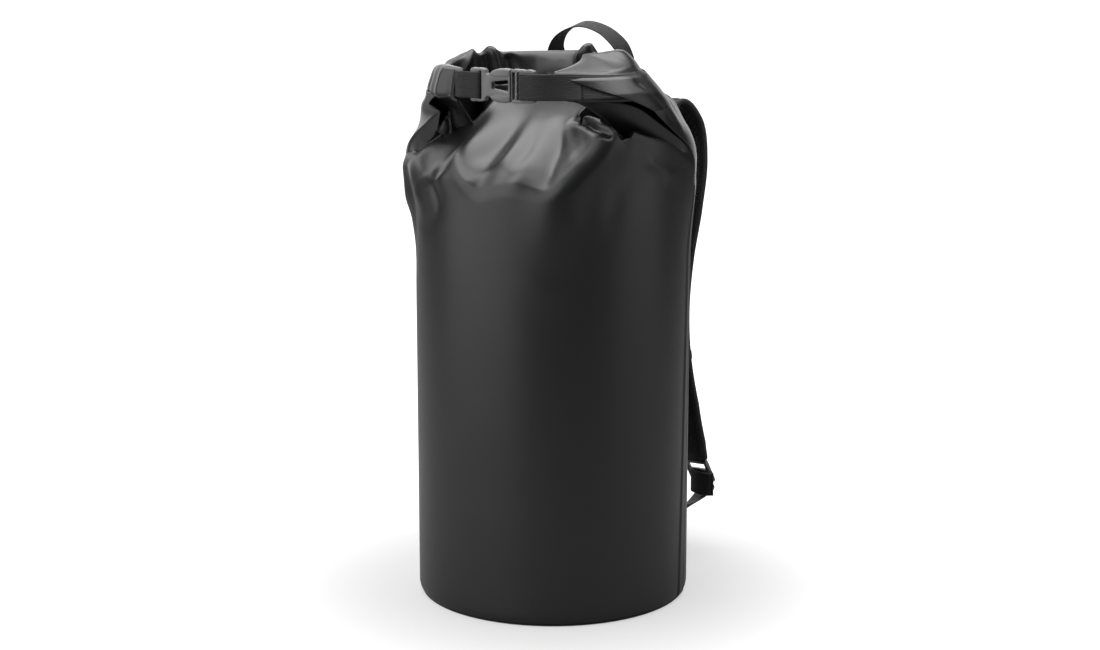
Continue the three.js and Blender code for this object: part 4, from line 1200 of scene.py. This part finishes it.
def strap_tail(side, label):
    """Free end of that webbing, rolled up flat and standing on its edge: a flattened spiral."""
    turn = np.linspace(0, 2 * np.pi * (TAIL_TURNS - 0.6), 190)
    pitch = (TAIL_DEEP / 2 - WEB_THICK) / TAIL_TURNS
    shrink = turn / (2 * np.pi) * pitch + WEB_THICK / 2
    x, y = (TAIL_WIDE / 2 - shrink) * np.cos(turn), (TAIL_DEEP / 2 - shrink) * np.sin(turn)
    lean = math.radians(TAIL_LEAN) * side
    x, y = x * math.cos(lean) - y * math.sin(lean), x * math.sin(lean) + y * math.cos(lean)
    spot = lock_frame(side)[0] + TAIL_FROM_LOCK * [side, 1, 1]
    path = stack(x, y, 0 * x) + spot
    return sweep(f"strap_tail_roll_{label}", path, np.tile(UP, (len(path), 1)), webbing_profile())


# Shader maths


class Value:
    """A shader socket: arithmetic on it adds Math nodes to its finish."""

    def __init__(self, finish, socket):
        self.finish = finish
        self.socket = socket

    def math(self, operation, *others):
        """A Math node on this value and others."""
        inputs = dict(enumerate((self, *others)))
        return self.finish.node("ShaderNodeMath", dict(operation=operation), inputs)

    def __add__(self, other):
        return self.math("ADD", other)

    __radd__ = __add__

    def __mul__(self, other):
        return self.math("MULTIPLY", other)

    __rmul__ = __mul__

    def __sub__(self, other):
        return self.math("SUBTRACT", other)

    def __rsub__(self, other):
        return self.finish.node("ShaderNodeMath", dict(operation="SUBTRACT"), {0: other, 1: self})

    def __pow__(self, other):
        return self.math("POWER", other)

    def sine(self):
        """Sine of the value, in radians."""
        return self.math("SINE")

    def step(self, low, high):
        """Smooth step from 0 at low to 1 at high."""
        return self.finish.node("ShaderNodeMapRange", dict(interpolation_type="SMOOTHSTEP"),
                                {"Value": self, "From Min": low, "From Max": high})


class Finish:
    """A material and the nodes of it."""

    def __init__(self, name):
        self.material = bpy.data.materials.new(name)
        self.material.use_nodes = True
        self.tree = self.material.node_tree
        self.shader = self.tree.nodes["Principled BSDF"]

    def node(self, kind, settings=None, inputs=None, out=0):
        """A node of a kind with its settings, its inputs fed, as the value of one of its
        outputs."""
        made = self.tree.nodes.new(kind)
        for key, value in (settings or {}).items():
            setattr(made, key, value)
        for key, value in (inputs or {}).items():
            self.feed(made.inputs[key], value)
        return Value(self, made.outputs[out])

    def feed(self, socket, value):
        """Links a value to a socket, or sets the socket to a number."""
        if isinstance(value, Value):
            self.tree.links.new(value.socket, socket)
        else:
            socket.default_value = value

    def place(self):
        """Place on the object, in metres."""
        return self.node("ShaderNodeTexCoord", out="Object")

    def map(self):
        """Across and along the surface, in metres, from the piece's own map."""
        where = self.node("ShaderNodeUVMap", dict(uv_map="map"))
        parts = self.tree.nodes.new("ShaderNodeSeparateXYZ")
        self.feed(parts.inputs[0], where)
        return Value(self, parts.outputs[0]), Value(self, parts.outputs[1])

    def noise(self, where, scale, detail):
        """Noise from 0 to 1 with so many cells per metre."""
        return self.node("ShaderNodeTexNoise", None,
                         {"Vector": where, "Scale": scale, "Detail": detail, "Roughness": 0.55})

    def colour(self, factor, dark, light):
        """Blend of two colours."""
        return self.node("ShaderNodeMix", dict(data_type="RGBA"),
                         {0: factor, 6: (*dark, 1), 7: (*light, 1)}, out=2)

    def bump(self, height, distance, strength):
        """Normal of a height from 0 to 1 that stands for a distance in metres."""
        return self.node("ShaderNodeBump", None,
                         {"Height": height, "Distance": distance, "Strength": strength})

    def set(self, **values):
        """Feeds the shader's sockets by their names and gives the material."""
        for key, value in values.items():
            self.feed(self.shader.inputs[key.replace("_", " ").title()], value)
        return self.material


def coated_cloth():
    """Black cloth with a satin coating: a fine square weave shows through, and its sheen varies."""
    finish = Finish("coated_cloth_black")
    where = finish.place()
    u, v = finish.map()
    pitch = 2 * math.pi / (1.5 * MM)
    weave = (u * pitch).sine() * (v * pitch).sine()
    grain = finish.noise(where, 900, 2)
    patches = finish.noise(where, 14, 3)
    height = weave * 0.5 + grain * 0.6
    return finish.set(
        base_color=finish.colour(patches, (0.007, 0.007, 0.0073), (0.010, 0.010, 0.0104)),
        roughness=patches * 0.08 + 0.31,
        normal=finish.bump(height, 0.00004, 0.5),
    )


def webbing():
    """Woven black webbing: ribs along it, crossed by the weft."""
    finish = Finish("webbing_black")
    u, v = finish.map()
    ribs = (u * (2 * math.pi / (1.6 * MM))).sine()
    weft = (v * (2 * math.pi / (1.1 * MM))).sine()
    fuzz = finish.noise(finish.place(), 700, 3)
    height = ribs * 0.5 + weft * 0.35 + fuzz * 0.5
    return finish.set(
        base_color=finish.colour((ribs * 0.25 + weft * 0.2 + fuzz * 0.6).step(0, 1),
                                 (0.004, 0.004, 0.0042), (0.014, 0.014, 0.0146)),
        roughness=fuzz * 0.15 + 0.62,
        normal=finish.bump(height, 0.00025, 0.8),
    )


def buckle_plastic():
    """Moulded plastic with a fine spark-eroded grain."""
    finish = Finish("buckle_plastic_black")
    where = finish.place()
    grain = finish.noise(where, 2200, 2)
    patches = finish.noise(where, 60, 2)
    return finish.set(
        base_color=finish.colour(patches, (0.10, 0.10, 0.103), (0.125, 0.124, 0.127)),
        roughness=patches * 0.12 + 0.36,
        normal=finish.bump(grain, 0.00004, 0.35),
    )


def pad_mesh():
    """Knitted spacer mesh: dark cells in staggered rows between lighter ribs, the cells' dark being
    painted shade in its holes.
    """
    finish = Finish("pad_mesh_black")
    u, v = finish.map()
    across = u * (2 * math.pi / (3.4 * MM))
    along_pad = v * (2 * math.pi / (3.0 * MM))
    rows = across.sine() * along_pad.sine()
    slant = (across * 0.5 + along_pad * 0.5).sine() * 0.4
    cells = (rows + slant).step(-0.5, 0.5)
    fuzz = finish.noise(finish.place(), 900, 3)
    # Painted shade: the cells, the mesh's open holes, are darkened, and the fuzz varies the tone at
    # random.
    shade = cells * (fuzz * 0.4 + 0.6)
    return finish.set(
        base_color=finish.colour(shade, (0.003, 0.003, 0.003), (0.020, 0.020, 0.021)),
        roughness=fuzz * 0.1 + 0.75,
        normal=finish.bump(cells, 0.0009, 0.9),
    )


CLOTH_BLACK = coated_cloth()
MESH_BLACK = pad_mesh()
WEBBING_BLACK = webbing()
PLASTIC_BLACK = buckle_plastic()


# Camera, light and floor

# The camera goes round from the front and dips; its focal length and the shift of its middle are in
# pixels of the photo's width.
CAMERA_TURN = 23
CAMERA_DIP = 12.2
CAMERA_DISTANCE = 2.3
CAMERA_HEIGHT = 0.77
PHOTO_WIDTH = 1100
FOCAL_PIXELS = 2328
SHIFT_PIXELS = -3
SENSOR = 36

# Softboxes: angle from the front, distance, height, width, length, power, and the point they are
# turned to.
SOFTBOXES = {
    "left_softbox": (-38, 1.9, 0.95, 2.8, 2.3, 46, (0, 0, 0.3)),
    "right_softbox": (95, 1.9, 0.75, 1.7, 1.9, 9, (0, 0, 0.3)),
    "backdrop_left": (-138, 2.2, 1.0, 2.2, 1.9, 18, (0, 0, 0.3)),
    "backdrop_right": (190, 2.2, 0.5, 1.5, 0.9, 6, (0, 0, 0.3)),
    "overhead_softbox": (23, -0.15, 1.9, 2.5, 1.8, 76, (0, 0, 0.5)),
}

# Strength of the white that the camera sees behind the bag, of the even light on it, and of the
# floor's glow; grey of the floor, and how far from the bag's middle its shadow begins and ends to
# fade.
BACKDROP = 1.3
FILL_LIGHT = 0.03
FLOOR_GLOW = 2.6
FLOOR_GREY = 0.27
SHADOW_FADE = (0.14, 0.5)


def camera():
    """Camera to the right of the bag's front, looking down at it."""
    data = bpy.data.cameras.new("camera")
    data.lens = FOCAL_PIXELS / PHOTO_WIDTH * SENSOR
    data.sensor_width = SENSOR
    data.shift_x = SHIFT_PIXELS / PHOTO_WIDTH
    holder = bpy.data.objects.new("camera", data)
    holder.location = on_wall(CAMERA_TURN, CAMERA_DISTANCE, CAMERA_HEIGHT)
    holder.rotation_euler = (math.radians(90 - CAMERA_DIP), 0, math.radians(CAMERA_TURN))
    bpy.context.scene.collection.objects.link(holder)
    bpy.context.scene.camera = holder


def softbox(name, angle, distance, height, width, tall, power, aim):
    """Rectangular light at an angle from the front, turned to a point on the bag."""
    data = bpy.data.lights.new(name, "AREA")
    data.shape = "RECTANGLE"
    data.size, data.size_y = width, tall
    data.energy = power
    holder = bpy.data.objects.new(name, data)
    place = on_wall(angle, distance, height)
    holder.location = place
    way = np.array(aim) - place
    level = math.hypot(way[0], way[1])
    holder.rotation_euler = (math.atan2(level, -way[2]), 0, math.atan2(-way[0], way[1]))
    bpy.context.scene.collection.objects.link(holder)


def world():
    """White backdrop for the camera, and a dim even light on the bag."""
    made = bpy.data.worlds.new("studio")
    bpy.context.scene.world = made
    made.use_nodes = True
    nodes, links = made.node_tree.nodes, made.node_tree.links
    shown = nodes.new("ShaderNodeBackground")
    shown.inputs[0].default_value = (1, 1, 1, 1)
    shown.inputs[1].default_value = BACKDROP
    lit = nodes["Background"]
    lit.inputs[0].default_value = (1, 1, 1, 1)
    lit.inputs[1].default_value = FILL_LIGHT
    path = nodes.new("ShaderNodeLightPath")
    choose = nodes.new("ShaderNodeMixShader")
    links.new(path.outputs["Is Camera Ray"], choose.inputs[0])
    links.new(lit.outputs[0], choose.inputs[1])
    links.new(shown.outputs[0], choose.inputs[2])
    links.new(choose.outputs[0], nodes["World Output"].inputs[0])


def floor():
    """Pale floor that fades into the backdrop: the camera sees it mixed with white, so only shadows
    show."""
    x, y = np.meshgrid(np.linspace(-9, 9, 9), np.linspace(-3, 12, 9))
    piece = surface("floor", stack(x, y, np.full_like(x, -0.0005)))
    finish = Finish("floor_white")
    finish.set(base_color=(FLOOR_GREY, FLOOR_GREY, FLOOR_GREY, 1), roughness=0.9)
    finish.feed(finish.shader.inputs["Specular IOR Level"], 0.1)
    glow = finish.node("ShaderNodeEmission", None, {"Color": (1, 1, 1, 1), "Strength": FLOOR_GLOW})
    seen = finish.node("ShaderNodeLightPath")
    away = finish.node("ShaderNodeVectorMath", dict(operation="LENGTH"), {0: finish.place()}, out=1)
    share = seen * (away.step(*SHADOW_FADE) * 0.28 + 0.2)
    plain = Value(finish, finish.shader.outputs[0])
    shown = finish.node("ShaderNodeMixShader", None, {0: share, 1: plain, 2: glow})
    finish.feed(finish.tree.nodes["Material Output"].inputs[0], shown)
    piece.data.materials.append(finish.material)


def main():
    """Builds every piece, says which solids it stands for, and sets up the studio."""
    cloth = dress(tube_cloth(), CLOTH_BLACK, "coated_cloth", "tube")
    weld(cloth)
    wall = cloth.modifiers.new("wall", "SOLIDIFY")
    wall.thickness = CLOTH
    wall.offset = -1
    dress(rolled_mouth(), CLOTH_BLACK, "coated_cloth", "rolled_mouth")
    dress(closure_tab(), WEBBING_BLACK, "webbing", "closure_tab")
    dress(buckle_socket(), PLASTIC_BLACK, "buckle_plastic", "buckle_socket")
    dress(buckle_plug(), PLASTIC_BLACK, "buckle_plastic", "buckle_plug")
    dress(closure_strap(), WEBBING_BLACK, "webbing", "closure_strap")
    dress(carry_handle(), WEBBING_BLACK, "webbing", "carry_handle")
    harness = patch("harness_patch_cloth", 180, 170 * MM, 76 * MM, HARNESS_Z)
    dress(harness, CLOTH_BLACK, "coated_cloth", "harness_patch")
    for side, label in ((1, "right"), (-1, "left")):
        pad = shoulder_pad(side, label)
        dress(pad, MESH_BLACK, "pad_mesh", f"strap_pad_{label}")
        dress(pad_binding(side, label), WEBBING_BLACK, "webbing")
        dress(strap_keeper(side, label), WEBBING_BLACK, "webbing", f"strap_keeper_{label}")
        dress(ladder_lock(side, label), PLASTIC_BLACK, "buckle_plastic", f"ladder_lock_{label}")
        angle = side * ANCHOR_ANGLE
        anchor = patch(f"lower_patch_cloth_{label}", angle, ANCHOR_PATCH, ANCHOR_PATCH, ANCHOR_Z)
        dress(anchor, CLOTH_BLACK, "coated_cloth", f"lower_patch_{label}")
        dress(lower_webbing(side, label), WEBBING_BLACK, "webbing", f"lower_webbing_{label}")
        dress(strap_tail(side, label), WEBBING_BLACK, "webbing", f"strap_tail_{label}")
    base = frame["nodes"]["base"]
    base.data.materials.clear()
    base.data.materials.append(CLOTH_BLACK)
    floor()
    world()
    for name, settings in SOFTBOXES.items():
        softbox(name, *settings)
    camera()
    bpy.context.scene.view_settings.view_transform = "Standard"


main()
